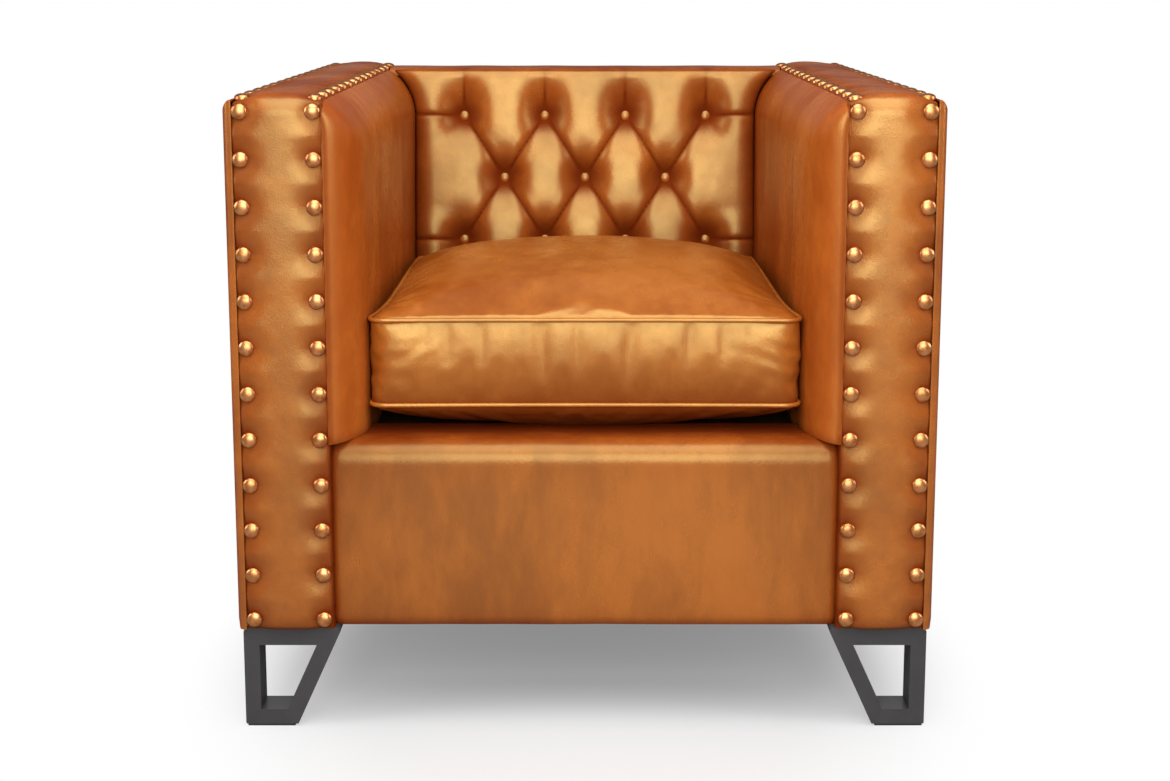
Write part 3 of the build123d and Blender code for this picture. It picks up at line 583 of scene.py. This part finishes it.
tuft_form = sheet_form(columns=230, rows=180, place=tuft_point)
back_up(tuft_form, to_panel)
tufted_back = new_piece("tufted_back", tuft_form, cognac, fold=radians(75))
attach(tufted_back, "chair")
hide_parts("back_cover", "back_foam")


# Tuft buttons: small metal shells covered in the same leather, each pulled in by a waxed cord
# that goes through the pad and is tied to a washer behind the panel.
BUTTON_RADIUS = 0.009
BUTTON_RISE = 0.006
BUTTON_RIM = 0.001
BUTTON_SINK = 0.0006
SPIN_MERGE = 0.00002


def dome_form(radius, rise, rim, rings, steps):
    """A turned dome, steep at its short straight rim, closed below, with its seat in the XY plane."""
    form = bmesh.new()
    outline = [form.verts.new((0, 0, 0)), form.verts.new((radius, 0, 0))]
    for ring in range(rings + 1):
        angle = pi / 2 * (1 - ring / rings)
        outline.append(form.verts.new((radius * sin(angle), 0, rim + (rise - rim) * cos(angle))))
    edges = [form.edges.new(pair) for pair in zip(outline[:-1], outline[1:])]
    bmesh.ops.spin(
        form, geom=outline + edges, cent=(0, 0, 0), axis=(0, 0, 1), angle=2 * pi, steps=steps,
        use_merge=True,
    )
    bmesh.ops.remove_doubles(form, verts=form.verts[:], dist=SPIN_MERGE)
    bmesh.ops.recalc_face_normals(form, faces=form.faces[:])
    return form


def stand_at(place, way):
    """The turn and the shift that stand a small part at a place and face it some way."""
    return Matrix.Translation(place) @ way.to_track_quat("Z", "Y").to_matrix().to_4x4()


def set_copies(form, places):
    """The same small part at many places, in one form."""
    mesh = bpy.data.meshes.new("part")
    form.to_mesh(mesh)
    form.free()
    together = bmesh.new()
    for place in places:
        known = len(together.verts)
        together.from_mesh(mesh)
        together.verts.ensure_lookup_table()
        bmesh.ops.transform(together, matrix=place, verts=together.verts[known:])
    bpy.data.meshes.remove(mesh)
    return together


button_places = []
for u, v in buttons:
    seat = back_origin + Vector((u, 0, 0)) + v * back_up_way - BUTTON_SINK * back_out_way
    button_places.append(stand_at(seat, back_out_way))
button_shell = dome_form(BUTTON_RADIUS, BUTTON_RISE, BUTTON_RIM, rings=7, steps=24)
tuft_buttons = new_piece("tuft_buttons_covered", set_copies(button_shell, button_places), cognac)
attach(tuft_buttons, "chair")
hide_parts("tuft_buttons")
waxed_cord = woven("waxed_cord", (0.72, 0.64, 0.5, 1), (0.4, 0.33, 0.22, 1), threads=900.0, depth=0.0002)
dress(waxed_cord, "button_ties")


# Back top: a strip of leather over thin foam on the top rail, sewn to the tufted back along its front
# edge and turned down behind under the outside back. The top buttons pull at its front edge.
STRIP_OVERLAP = 0.002
STRIP_FRONT, STRIP_FRONT_REACH = 0.005, 0.008
STRIP_REAR, STRIP_REAR_REACH = 0.001, 0.004
STRIP_CROWN = 0.0018
STRIP_RIPPLE = 0.0008
STRIP_SEAM = 0.002
STRIP_PULL = 0.0018
PULL_WIDTH = 0.008
PULL_REACH = 0.012
top_low, top_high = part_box("back_top_cover")
top_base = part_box("back_top_foam")[0].z


def back_top_point(across, along):
    x = top_low.x + across * (top_high.x - top_low.x)
    front = along * (top_high.y - top_low.y + STRIP_OVERLAP)
    y = top_low.y - STRIP_OVERLAP + front
    roll = round_off(STRIP_FRONT, front, STRIP_FRONT_REACH)
    roll += round_off(STRIP_REAR, top_high.y - y, STRIP_REAR_REACH)
    pull = sum(bell(x - u, PULL_WIDTH) for u, v in button_rows[0]) * fade(front, PULL_REACH)
    crown = STRIP_CROWN * sin(pi * along) + STRIP_RIPPLE * noise.noise((18 * x, 20 * y, 1))
    # Painted shade along the front seam and where the top buttons pull the strip in.
    painted_shade = 0.6 * fade(front, STRIP_SEAM) + 0.5 * pull
    return (x, y, top_high.z + crown - roll - STRIP_PULL * pull), min(0.8, painted_shade)


back_top_form = sheet_form(columns=220, rows=28, place=back_top_point)
back_up(back_top_form, lambda point: (point.x, point.y, top_base))
back_top = new_piece("back_top_strip", back_top_form, cognac)
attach(back_top, "chair")
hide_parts("back_top_cover", "back_top_foam")


# Outside arms and outside back: panels of leather stretched over the board and turned round the edges.
# The arm panels show as a narrow strip beside the outer nails.
EDGE_ROUND = 0.0102
SHOULDER, SHOULDER_REACH = 0.005, 0.05
PANEL_HEM, PANEL_HEM_REACH = 0.0012, 0.012
PANEL_SLACK = 0.0016
PANEL_RIPPLE = 0.0012
PANEL_TIGHT_EDGE = 0.12
PANEL_SHELL = 0.002
PANEL_LONG_EDGE = 0.1
PANEL_FACING = 0.9


def stretched_panel(name, low, high, outward, top_only):
    """A skin on a box, open towards the frame and below, rounded along its top or along its sides too."""
    form = bmesh.new()
    form.verts.layers.float.new("painted_shade")
    bmesh.ops.create_cube(form, size=1.0)
    size, middle = high - low, (high + low) / 2
    bmesh.ops.scale(form, vec=size, verts=form.verts[:])
    bmesh.ops.translate(form, vec=middle, verts=form.verts[:])
    face = max(form.faces, key=lambda one: one.calc_center_median().dot(outward))
    end_level = min if top_only else max
    rim = [edge for edge in face.edges if end_level(vert.co.z for vert in edge.verts) > middle.z]
    bmesh.ops.bevel(
        form, geom=rim, offset=EDGE_ROUND, segments=6, profile=0.5, affect="EDGES", material=-1,
        offset_type="OFFSET", clamp_overlap=False,
    )
    form.normal_update()
    away = [one for one in form.faces
            if one.normal.dot(outward) < -PANEL_FACING or one.normal.z < -PANEL_FACING]
    bmesh.ops.delete(form, geom=away, context="FACES")
    long_edges = [edge for edge in form.edges if edge.calc_length() > PANEL_LONG_EDGE]
    bmesh.ops.subdivide_edges(form, edges=long_edges, cuts=48, use_grid_fill=True)
    for vert in form.verts:
        inset = 1.0
        for axis in range(3):
            if not outward[axis]:
                gap = min(vert.co[axis] - low[axis], high[axis] - vert.co[axis])
                inset *= min(1.0, max(0.0, gap - EDGE_ROUND) / PANEL_TIGHT_EDGE)
        wave = noise.noise(vert.co * 5.0) + 0.5 * noise.noise(vert.co * 12.0)
        vert.co += outward * inset * (PANEL_SLACK + PANEL_RIPPLE * wave)
        if not top_only:
            share = abs(vert.co.x - (low.x if outward.x > 0 else high.x)) / size.x
            vert.co.z -= SHOULDER * share**2 * near(high.z - vert.co.z, SHOULDER_REACH)
            vert.co -= outward * share * round_off(PANEL_HEM, vert.co.z - low.z, PANEL_HEM_REACH)
    form.normal_update()
    bmesh.ops.solidify(form, geom=form.faces[:], thickness=PANEL_SHELL)
    return new_piece(name, form, cognac)


for side, word in SIDES:
    low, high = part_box(word + "_outside_arm_cover")
    outside_arm = stretched_panel(word + "_outside_arm", low, high, Vector((side, 0, 0)), top_only=False)
    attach(outside_arm, "chair")
    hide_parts(word + "_outside_arm_cover")
low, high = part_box("outside_back_cover")
outside_back = stretched_panel("outside_back", low, high, Vector((0, 1, 0)), top_only=True)
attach(outside_back, "chair")
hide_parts("outside_back_cover")


# Arm bands: one strip of leather over foam on each arm, up the front and back along the top, turned in
# along its inner edge. The nails pull it down along both edges, so it puckers between them and is
# crowned in the middle.
NAIL_RADIUS = 0.0092
NAIL_INSET = 0.0095
NAIL_SEAT = 0.0075
NAIL_PULL, PUCKER_REACH = 0.0044, 0.0125
NAIL_SHADE = 0.004
FRONT_NAILS = 12
TOP_NAILS = 15
LAST_BELOW_TOP = 0.013
FIRST_BEHIND_FRONT = 0.023
BAND_CORNER = 0.017
BAND_CROWN, BAND_CROWN_REACH = 0.0062, 0.03
BAND_MIDDLE = 0.0008
BAND_RIPPLE = 0.0006
BAND_EDGE, BAND_EDGE_REACH = 0.0012, 0.001
BAND_FOOT, BAND_FOOT_REACH = 0.009, 0.02
BAND_END, BAND_END_REACH = 0.01, 0.014
BAND_LOWEST = -0.006
BAND_SEAM = 0.0012
BAND_EDGE_SHADE = 0.018
BAND_FOOT_SHADE = 0.012
BAND_SHELL = 0.0045
TURN_IN = 0.0145
TURN_STEP = 0.0012
TURN_SHARE = 0.1
skin_low, skin_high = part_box("right_outside_arm_cover")
nail_low, nail_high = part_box("right_arm_nails")
front_plane, top_plane = skin_low.y, skin_high.z
band_base, band_rear = skin_low.z, band_high.y
band_wide = band_high.x - band_low.x
upright = top_plane - BAND_CORNER - band_base
bend = BAND_CORNER * pi / 2
top_start = front_plane + BAND_CORNER
band_length = upright + bend + band_rear - top_start
front_first = nail_low.z + NAIL_RADIUS
front_step = (top_plane - LAST_BELOW_TOP - front_first) / (FRONT_NAILS - 1)
front_levels = [front_first + index * front_step for index in range(FRONT_NAILS)]
top_first = front_plane + FIRST_BEHIND_FRONT
top_step = (nail_high.y - NAIL_RADIUS - top_first) / (TOP_NAILS - 1)
top_depths = [top_first + index * top_step for index in range(TOP_NAILS)]
nail_runs = [level - band_base for level in front_levels]
nail_runs += [upright + bend + depth - top_start for depth in top_depths]


def band_place(run, height):
    """The point at a length along the band and a height over its bed."""
    if run < upright:
        return front_plane - height, band_base + run
    if run < upright + bend:
        angle = (run - upright) / BAND_CORNER
        reach = BAND_CORNER + height
        return top_start - reach * cos(angle), top_plane - BAND_CORNER + reach * sin(angle)
    return top_start + run - upright - bend, top_plane + height


def band_point(side, across, along):
    """The inner edge is turned in beside the arm, and both ends are rounded down."""
    inward = 0.5 - 0.5 * cos(max(0.0, across - TURN_SHARE) / (1 - TURN_SHARE) * pi)
    turned = near(across, TURN_SHARE)
    run = along * band_length
    x = band_low.x + inward * band_wide - TURN_STEP * min(1.0, 4 * turned)
    edge = min(inward, 1 - inward) * band_wide
    nail = min((run - one for one in nail_runs), key=abs)
    from_nail = hypot(nail, edge - NAIL_INSET)
    height = BAND_CROWN * (1 - near(edge, BAND_CROWN_REACH) ** 2.4) + BAND_MIDDLE * sin(pi * inward)
    height -= BAND_EDGE * bell(edge, BAND_EDGE_REACH)
    height += BAND_RIPPLE * noise.noise((30 * x, 11 * run, 4 + side))
    height -= NAIL_PULL * bell(max(0.0, from_nail - NAIL_SEAT), PUCKER_REACH, power=1.6)
    height -= round_off(BAND_FOOT, run, BAND_FOOT_REACH)
    height -= round_off(BAND_END, band_length - run, BAND_END_REACH)
    # Painted shade: strong just above each nail, weaker below, along the seam and both edges, and at the
    # foot.
    painted_shade = (0.5 if nail > 0 else 0.15) * fade(max(0.0, from_nail - NAIL_RADIUS), NAIL_SHADE)
    painted_shade += 0.25 * fade(edge, BAND_SEAM) + 0.4 * bell(edge, BAND_EDGE_SHADE)
    painted_shade += 0.5 * fade(run, BAND_FOOT_SHADE)
    y, z = band_place(run, max(height, BAND_LOWEST) - TURN_IN * turned)
    return (side * x, y, z), min(0.85, painted_shade)


for side, word in SIDES:
    band_form = sheet_form(
        columns=52, rows=540, place=lambda across, along: band_point(side, across, along)
    )
    bmesh.ops.recalc_face_normals(band_form, faces=band_form.faces[:])
    if sum(face.normal.z for face in band_form.faces) < 0:
        bmesh.ops.reverse_faces(band_form, faces=band_form.faces[:])
    band_form.normal_update()
    bmesh.ops.solidify(band_form, geom=band_form.faces[:], thickness=BAND_SHELL)
    arm_band = new_piece(word + "_arm_band_pad", band_form, cognac)
    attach(arm_band, "chair")
    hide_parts(word + "_arm_band", word + "_band_foam")


# Band nails: domed brass-plated heads on square shanks, hammered through the band into the post and
# the rail. They are set by hand, so each leans a little its own way, the same in every run.
BRASS_WEAR = 0.16


def brass(name, colour, shade, roughness):
    finish, tree, shader, place = new_finish(name)
    patina = speckle(tree, place, scale=160.0, detail=4.0)
    tone = node(tree, "ShaderNodeMapRange", {"Value": patina, "From Min": 0.38, "From Max": 0.7})
    wear = node(tree, "ShaderNodeMapRange", {
        "Value": patina, "To Min": roughness, "To Max": roughness + BRASS_WEAR,
    })
    connect(tree, shader, {
        "Base Color": blend_colours(tree, tone.outputs["Result"], colour, shade), "Metallic": 1.0,
        "Roughness": wear.outputs["Result"], "Normal": relief(tree, patina, depth=0.00012),
    })
    return finish


NAIL_RISE = 0.005
NAIL_SKIRT = 0.0025
NAIL_RIM = NAIL_SKIRT + 0.0005
NAIL_LEAN = 0.07
NAIL_SEED = 12
nail_tall = NAIL_RISE + NAIL_SKIRT
front_seat = nail_low.y + nail_tall
top_seat = nail_high.z - nail_tall
nail_brass = brass("antique_brass", (0.75, 0.325, 0.125, 1), (0.45, 0.145, 0.038, 1), roughness=0.25)
noise.seed_set(NAIL_SEED)
for side, word in SIDES:
    nail_places = []
    for x in (nail_low.x + NAIL_RADIUS, nail_high.x - NAIL_RADIUS):
        spots = [(front_seat, level, (0, -1, 0)) for level in front_levels]
        spots += [(depth, top_seat, (0, 0, 1)) for depth in top_depths]
        for y, z, way in spots:
            lean = NAIL_LEAN * noise.noise_vector((40 * x, 17 * y, 17 * z + side))
            nail_places.append(stand_at((side * x, y, z), Vector(way) + lean))
    nail_head = dome_form(NAIL_RADIUS, nail_tall, NAIL_RIM, rings=6, steps=20)
    nails = new_piece(word + "_band_nails", set_copies(nail_head, nail_places), nail_brass)
    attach(nails, "chair")
    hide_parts(word + "_arm_nails")


# Seat cushion: a foam core in a loose leather case with boxed sides. The case is sewn along its top and
# bottom edges, where the seams hold it while the panels swell. Its front corners crumple, and at the
# rear the leather is pressed flat behind the zip.
CUSHION_DRAW = 0.004
CUSHION_CORNER = 0.019
FRONT_SPREAD = 0.008
SPREAD_START, SPREAD_RUN = 0.55, 0.4
REAR_DROP = 0.013
DROP_START = -0.1
BELLY_DROP = 0.038
CASE_CROWN = 0.75
CASE_GAP = 0.0015
CASE_FACE = 0.999
WELT_RADIUS = 0.0026
cover_low, cover_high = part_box("cushion_cover")
welt_low, welt_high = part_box("cushion_welts")
zip_low, zip_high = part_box("cushion_zip")
seam_low, seam_high = welt_low.z + WELT_RADIUS, welt_high.z - WELT_RADIUS
cushion_half = cover_high.x
cushion_middle = (cover_low.y + cover_high.y) / 2
half_depth = (cover_high.y - cover_low.y) / 2
crown_rise = cover_high.z - seam_high


def front_spread(q):
    """How far each side stands out towards the front."""
    return FRONT_SPREAD * unit((-q - SPREAD_START) / SPREAD_RUN) ** 2


def draw_in(x, y):
    """Pull a point of the plain plan in to the drawn sides and round corners; p and q are its shares."""
    p, q = x / cushion_half, (y - cushion_middle) / half_depth
    reach = 1 - CUSHION_CORNER / cushion_half
    over_p, over_q = max(0.0, abs(p) - reach), max(0.0, abs(q) - reach)
    if over_p > 0 and over_q > 0:
        shrink = max(over_p, over_q) / hypot(over_p, over_q)
        p = copysign(reach + over_p * shrink, p)
        q = copysign(reach + over_q * shrink, q)
    side_pull = CUSHION_DRAW * (1 - q * q) / cushion_half
    front_pull = CUSHION_DRAW * (1 - p * p) / half_depth
    if q < 0:
        q *= 1 - front_pull * abs(q)
    x = p * (1 - side_pull * abs(p)) * cushion_half + front_spread(q) * p
    return x, cushion_middle + q * half_depth, p, q


def top_seam(q):
    """Level of the top seam, which lies lower towards the rear."""
    return seam_high - REAR_DROP * unit((q - DROP_START) / (1 - DROP_START)) ** 2


def cushion_case():
    """The case before it swells: flat panels with a share of the crown already in them."""
    form = bmesh.new()
    bmesh.ops.create_cube(form, size=2.0)
    bmesh.ops.subdivide_edges(form, edges=form.edges[:], cuts=40, use_grid_fill=True)
    for vert in form.verts:
        x, y, p, q = draw_in(vert.co.x * cushion_half, cushion_middle + vert.co.y * half_depth)
        share = (vert.co.z + 1) / 2
        rise = sqrt(max(0.0, 1 - p**2)) * sqrt(max(0.0, 1 - q**2))
        z = seam_low + share * (top_seam(q) - seam_low)
        if vert.co.z > CASE_FACE:
            z += CASE_CROWN * crown_rise * rise
        if vert.co.z < -CASE_FACE:
            z -= BELLY_DROP * rise**0.6
        vert.co = (x, y, max(z, deck_high.z + CASE_GAP))
    bmesh.ops.recalc_face_normals(form, faces=form.faces[:])
    mesh = bpy.data.meshes.new("cushion_case")
    form.to_mesh(mesh)
    form.free()
    case = bpy.data.objects.new("seat_cushion", mesh)
    bpy.context.scene.collection.objects.link(case)
    return case


SWELL_FRAMES = 20
HELD_SEAM = 0.8
HELD_RIM = 0.97


def settle(case, voxel, most):
    """Remesh the case evenly and let it swell as cloth, held along its two seams."""
    remesh = case.modifiers.new("even", "REMESH")
    remesh.mode = "VOXEL"
    remesh.voxel_size = voxel
    graph = bpy.context.evaluated_depsgraph_get()
    mesh = bpy.data.meshes.new_from_object(case.evaluated_get(graph))
    case.modifiers.clear()
    case.data = mesh
    held = case.vertex_groups.new(name="seams")
    for vert in mesh.vertices:
        x, y, p, q = draw_in(vert.co.x, vert.co.y)
        seam = min(abs(vert.co.z - seam_low), abs(vert.co.z - top_seam(q)))
        if seam < HELD_SEAM * voxel and max(abs(p), abs(q)) > HELD_RIM:
            held.add([vert.index], 1.0, "REPLACE")
    start = [vert.co.copy() for vert in mesh.vertices]
    cloth = case.modifiers.new("leather", "CLOTH").settings
    cloth.quality = 6
    cloth.mass = 0.35
    cloth.tension_stiffness = 12
    cloth.compression_stiffness = 12
    cloth.shear_stiffness = 8
    cloth.bending_stiffness = 3.0
    cloth.shrink_min = -0.006
    cloth.use_pressure = True
    cloth.uniform_pressure_force = 5.0
    cloth.vertex_group_mass = "seams"
    cloth.effector_weights.gravity = 0.0
    scene = bpy.context.scene
    for number in range(SWELL_FRAMES):
        scene.frame_set(number + 1)
    graph = bpy.context.evaluated_depsgraph_get()
    swollen = bpy.data.meshes.new_from_object(case.evaluated_get(graph))
    for vert, old in zip(swollen.vertices, start):
        step = vert.co - old
        if step.length > most:
            vert.co = old + step * (most / step.length)
    case.modifiers.clear()
    case.data = swollen
    case.vertex_groups.clear()
    scene.frame_set(1)


cushion = cushion_case()
settle(cushion, voxel=0.0065, most=0.024)
cushion_form = bmesh.new()
cushion_form.from_mesh(cushion.data)
painted_shade_layer = cushion_form.verts.layers.float.new("painted_shade")
bmesh.ops.subdivide_edges(cushion_form, edges=cushion_form.edges[:], cuts=1, use_grid_fill=True)
for turn in range(2):
    bmesh.ops.smooth_vert(
        cushion_form, verts=cushion_form.verts[:], factor=0.5,
        use_axis_x=True, use_axis_y=True, use_axis_z=True,
    )
cushion_form.normal_update()

FRONT_BOXING = -0.9
CRUMPLE, CRUMPLE_REACH = 0.003, 0.05
FRONT_RIPPLE = 0.0007
SEWN_RIM = 0.955
SEWN_SHADE = 0.003
ZIP_BED, ZIP_SLOPE = 0.0004, 0.5
DECK_GAP = 0.0008
SIDE_SWELL = 0.004
for vert in cushion_form.verts:
    point = vert.co
    x, y, p, q = draw_in(point.x, point.y)
    seam_top = top_seam(q)
    boxing = seam_low < point.z < seam_top
    tall = (point.z - seam_low) / (seam_top - seam_low)
    crumple = 0.0
    if boxing and q < FRONT_BOXING:
        crumple = CRUMPLE * fade(cushion_half - abs(point.x), CRUMPLE_REACH)
        crumple *= noise.noise((38 * point.x, 10, 75 * point.z + 16 * abs(point.x)))
        crumple += FRONT_RIPPLE * noise.noise((26 * point.x + 8 * point.z, 3, 12 * point.z))
        crumple *= sin(pi * tall)
    # Painted shade: a little along the seams, more towards the bottom of the boxing, and heavy on the
    # belly.
    seam = min(abs(point.z - seam_low), abs(point.z - seam_top))
    seam_shade = 0.22 * fade(seam, SEWN_SHADE) if max(abs(p), abs(q)) > SEWN_RIM else 0.0
    shade = 0.68 * (1 - tall) ** 1.6 if boxing else 0.75 if point.z < seam_low else 0.0
    vert[painted_shade_layer] = min(0.75, seam_shade + shade)
    point += vert.normal * crumple
    if point.y > cushion_middle:
        from_zip = max(0.0, abs(point.x) - zip_high.x, zip_low.z - point.z, point.z - zip_high.z)
        point.y = min(point.y, zip_low.y + ZIP_BED + ZIP_SLOPE * from_zip)
    point.z = max(point.z, deck_high.z + DECK_GAP)
    reach = cushion_half + SIDE_SWELL + front_spread(q)
    point.x = min(max(point.x, -reach), reach)
# A lighter, yellower copy of the leather for the case and welts: painted light on the cushion.
cushion_leather_painted_light = leather(
    "cushion_leather_painted_light", (0.45, 0.138, 0.021, 1), (0.3, 0.069, 0.0075, 1), streak=(1.0, 0.7, 1.0)
)
cushion_form.to_mesh(cushion.data)
cushion_form.free()
cushion.data.materials.append(cushion_leather_painted_light)
cushion.data.polygons.foreach_set("use_smooth", [True] * len(cushion.data.polygons))
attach(cushion, "cushion")
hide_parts("cushion_cover", "cushion_core")


# Cushion welts: cords covered in the same leather as the case, sewn into its top and bottom seams all
# round. They stand proud along the front and sink into the seam on the other sides.
WELT_STEPS = 360
WELT_PROUD = 0.0012
SINK_START, SINK_RUN = -0.95, 0.1
WELT_MERGE = 0.00001


def welt_cord(level_at):
    """A tube along the seam, from the middle of the rear round the case."""
    path = []
    for index in range(WELT_STEPS):
        angle = pi / 2 + 2 * pi * index / WELT_STEPS
        stretch = 1 / max(abs(cos(angle)), abs(sin(angle)))
        x, y, p, q = draw_in(
            cos(angle) * stretch * cushion_half, cushion_middle + sin(angle) * stretch * half_depth
        )
        sunk = WELT_RADIUS * unit((q - SINK_START) / SINK_RUN)
        outward = Vector((x, y - cushion_middle, 0)).normalized()
        path.append(Vector((x, y, level_at(q))) + (WELT_PROUD - sunk) * outward)
    curve = bpy.data.curves.new("welt", "CURVE")
    curve.dimensions = "3D"
    curve.bevel_depth = WELT_RADIUS
    curve.bevel_resolution = 3
    line = curve.splines.new("NURBS")
    line.points.add(len(path) - 1)
    for spot, point in zip(line.points, path):
        spot.co = (*point, 1.0)
    line.use_cyclic_u = True
    line.order_u = 3
    tube = bpy.data.objects.new("welt", curve)
    graph = bpy.context.evaluated_depsgraph_get()
    mesh = bpy.data.meshes.new_from_object(tube.evaluated_get(graph))
    bpy.data.objects.remove(tube)
    bpy.data.curves.remove(curve)
    return mesh


welt_form = bmesh.new()
for level_at in (top_seam, lambda q: seam_low):
    welt_form.from_mesh(welt_cord(level_at))
bmesh.ops.remove_doubles(welt_form, verts=welt_form.verts[:], dist=WELT_MERGE)
bmesh.ops.recalc_face_normals(welt_form, faces=welt_form.faces[:])
welts = new_piece("cushion_welt_cords", welt_form, cushion_leather_painted_light)
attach(welts, "cushion")
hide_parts("cushion_welts")


# Cushion zip: brown woven tape with a closed row of teeth, sewn along the rear of the case, and a brass
# slider with its pull tab that runs along it. The solids stay as they are.
zip_tape = woven(
    "zip_tape", (0.17, 0.075, 0.03, 1), (0.08, 0.035, 0.015, 1), threads=1100.0, depth=0.0003
)
dress(zip_tape, "cushion_zip")
dress(brass("zip_brass", (0.6, 0.44, 0.22, 1), (0.4, 0.26, 0.1, 1), roughness=0.3), "zip_slider")


# Legs: flat dark bars welded into open trapezoids, satin powder coat, screwed up into the corner blocks
# through a plate. Black glides are pressed on below, and black cloth closes the frame between the legs.
def powder_coat():
    finish, tree, shader, place = new_finish("dark_powder_coat")
    mist = speckle(tree, place, scale=18.0, detail=5.0, roughness=0.7)
    orange_peel = speckle(tree, place, scale=900.0, detail=2.0)
    rough = node(tree, "ShaderNodeMapRange", {"Value": mist, "To Min": 0.4, "To Max": 0.56})
    connect(tree, shader, {
        "Base Color": blend_colours(tree, mist, (0.034, 0.032, 0.032, 1), (0.06, 0.057, 0.057, 1)),
        "Roughness": rough.outputs["Result"], "Specular IOR Level": 0.2,
        "Normal": relief(tree, orange_peel, depth=0.0001),
    })
    return finish


def zinc():
    finish, tree, shader, place = new_finish("zinc_plate")
    spangle = speckle(tree, place, scale=700.0, detail=3.0)
    connect(tree, shader, {
        "Base Color": blend_colours(tree, spangle, (0.42, 0.42, 0.4, 1), (0.68, 0.67, 0.64, 1)),
        "Metallic": 1.0, "Roughness": 0.36, "Normal": relief(tree, spangle, depth=0.00005),
    })
    return finish


dress(powder_coat(), *both_sides("front_leg", "rear_leg"))
dress(zinc(), "leg_screws")
black_nylon = felted("black_nylon", (0.035, 0.035, 0.035, 1), (0.02, 0.02, 0.02, 1), scale=1200.0)
dust_cloth = felted("black_dust_cloth", (0.05, 0.05, 0.05, 1), (0.015, 0.015, 0.015, 1), scale=480.0)
dress(black_nylon, "foot_glides")
dress(dust_cloth, "dust_cover")


# Studio: a pale floor that goes on into a white surround, with one large soft light above the camera,
# one overhead, two at the sides and a low one behind. The camera is in front, a little above the arms.
MIRRORED_SHARE = 0.15
FLOOR_IN_LIGHT = (0.25, 0.25, 0.25, 1)
FLOOR_TO_CAMERA = (0.62, 0.62, 0.62, 1)
FLOOR_HALF = 6.0


def background_level(tree, rays):
    """1 to the camera and through glass, less in reflections, nothing as light on the chair."""
    mirrored = reckon(tree, "MULTIPLY", rays.outputs["Is Glossy Ray"], MIRRORED_SHARE)
    seen = reckon(tree, "MAXIMUM", rays.outputs["Is Camera Ray"], rays.outputs["Is Transmission Ray"])
    return reckon(tree, "MAXIMUM", seen, mirrored)


def studio_white():
    """White to the camera away from the chair; nearer it a darker grey, a painted soft shadow, that also
    takes its real shadow.
    """
    finish, tree, shader, place = new_finish("studio_floor")
    rays = node(tree, "ShaderNodeLightPath")
    grey = blend_colours(tree, rays.outputs["Is Camera Ray"], FLOOR_IN_LIGHT, FLOOR_TO_CAMERA)
    connect(tree, shader, {"Base Color": grey, "Roughness": 0.8})
    # Less glow near the chair leaves a darker grey there: a painted soft shadow round it, on top of the
    # real one.
    flat = node(tree, "ShaderNodeMapping", {
        "Vector": place, "Location": (0, 0.12, 0), "Scale": (1.25, 0.8, 0.0),
    })
    away = node(tree, "ShaderNodeVectorMath", {0: flat.outputs["Vector"]}, operation="LENGTH")
    fading = node(tree, "ShaderNodeMapRange", {
        "Value": away.outputs["Value"], "From Min": 0.34, "From Max": 0.64, "To Min": 0.18, "To Max": 1.0,
    }, interpolation_type="SMOOTHSTEP")
    share = reckon(tree, "MULTIPLY", background_level(tree, rays), fading.outputs["Result"])
    glow = node(tree, "ShaderNodeEmission", {"Strength": 1.0})
    mixed = node(tree, "ShaderNodeMixShader", {
        0: share, 1: shader.outputs["BSDF"], 2: glow.outputs["Emission"],
    })
    tree.links.new(mixed.outputs[0], tree.nodes["Material Output"].inputs["Surface"])
    return finish


floor_form = bmesh.new()
bmesh.ops.create_grid(floor_form, x_segments=4, y_segments=4, size=FLOOR_HALF)
floor = new_piece("floor", floor_form, studio_white())

world = bpy.data.worlds.new("surround")
bpy.context.scene.world = world
world.use_nodes = True
sky = world.node_tree
sky_level = node(sky, "ShaderNodeMapRange", {
    "Value": background_level(sky, node(sky, "ShaderNodeLightPath")), "To Min": 0.12, "To Max": 1.0,
})
sky.nodes["Background"].inputs["Color"].default_value = (1, 1, 1, 1)
sky.links.new(sky_level.outputs["Result"], sky.nodes["Background"].inputs["Strength"])


def soft_light(name, place, aim, size, power):
    lamp = bpy.data.lights.new(name, "AREA")
    lamp.shape = "RECTANGLE"
    lamp.size, lamp.size_y = size
    lamp.energy = power
    light = bpy.data.objects.new(name, lamp)
    light.location = place
    light.rotation_euler = (Vector(aim) - Vector(place)).to_track_quat("-Z", "Y").to_euler()
    bpy.context.scene.collection.objects.link(light)


soft_light("front_softbox", (0.0, -3.1, 1.25), (0, 0, 0.7), size=(2.2, 1.8), power=70)
soft_light("overhead_softbox", (0.0, -1.25, 2.6), (0, -0.1, 0.4), size=(2.2, 2.5), power=70)
soft_light("left_softbox", (-2.5, -0.9, 1.4), (0, 0, 0.5), size=(1.0, 1.5), power=23)
soft_light("right_softbox", (2.5, -0.9, 1.4), (0, 0, 0.5), size=(1.0, 1.5), power=23)
soft_light("rear_softbox", (0.0, 2.6, 0.42), (0, 0, 0.42), size=(2.2, 0.5), power=22)

camera = bpy.data.objects.new("camera", bpy.data.cameras.new("camera"))
camera.data.sensor_width = 36.0
camera.data.lens = 56.05
camera.data.shift_y = -0.0891
camera.location = (0.0, -2.416, 0.8565)
camera.rotation_euler = (radians(80.51), 0, 0)
bpy.context.scene.collection.objects.link(camera)
bpy.context.scene.camera = camera
bpy.context.scene.view_settings.view_transform = "Standard"
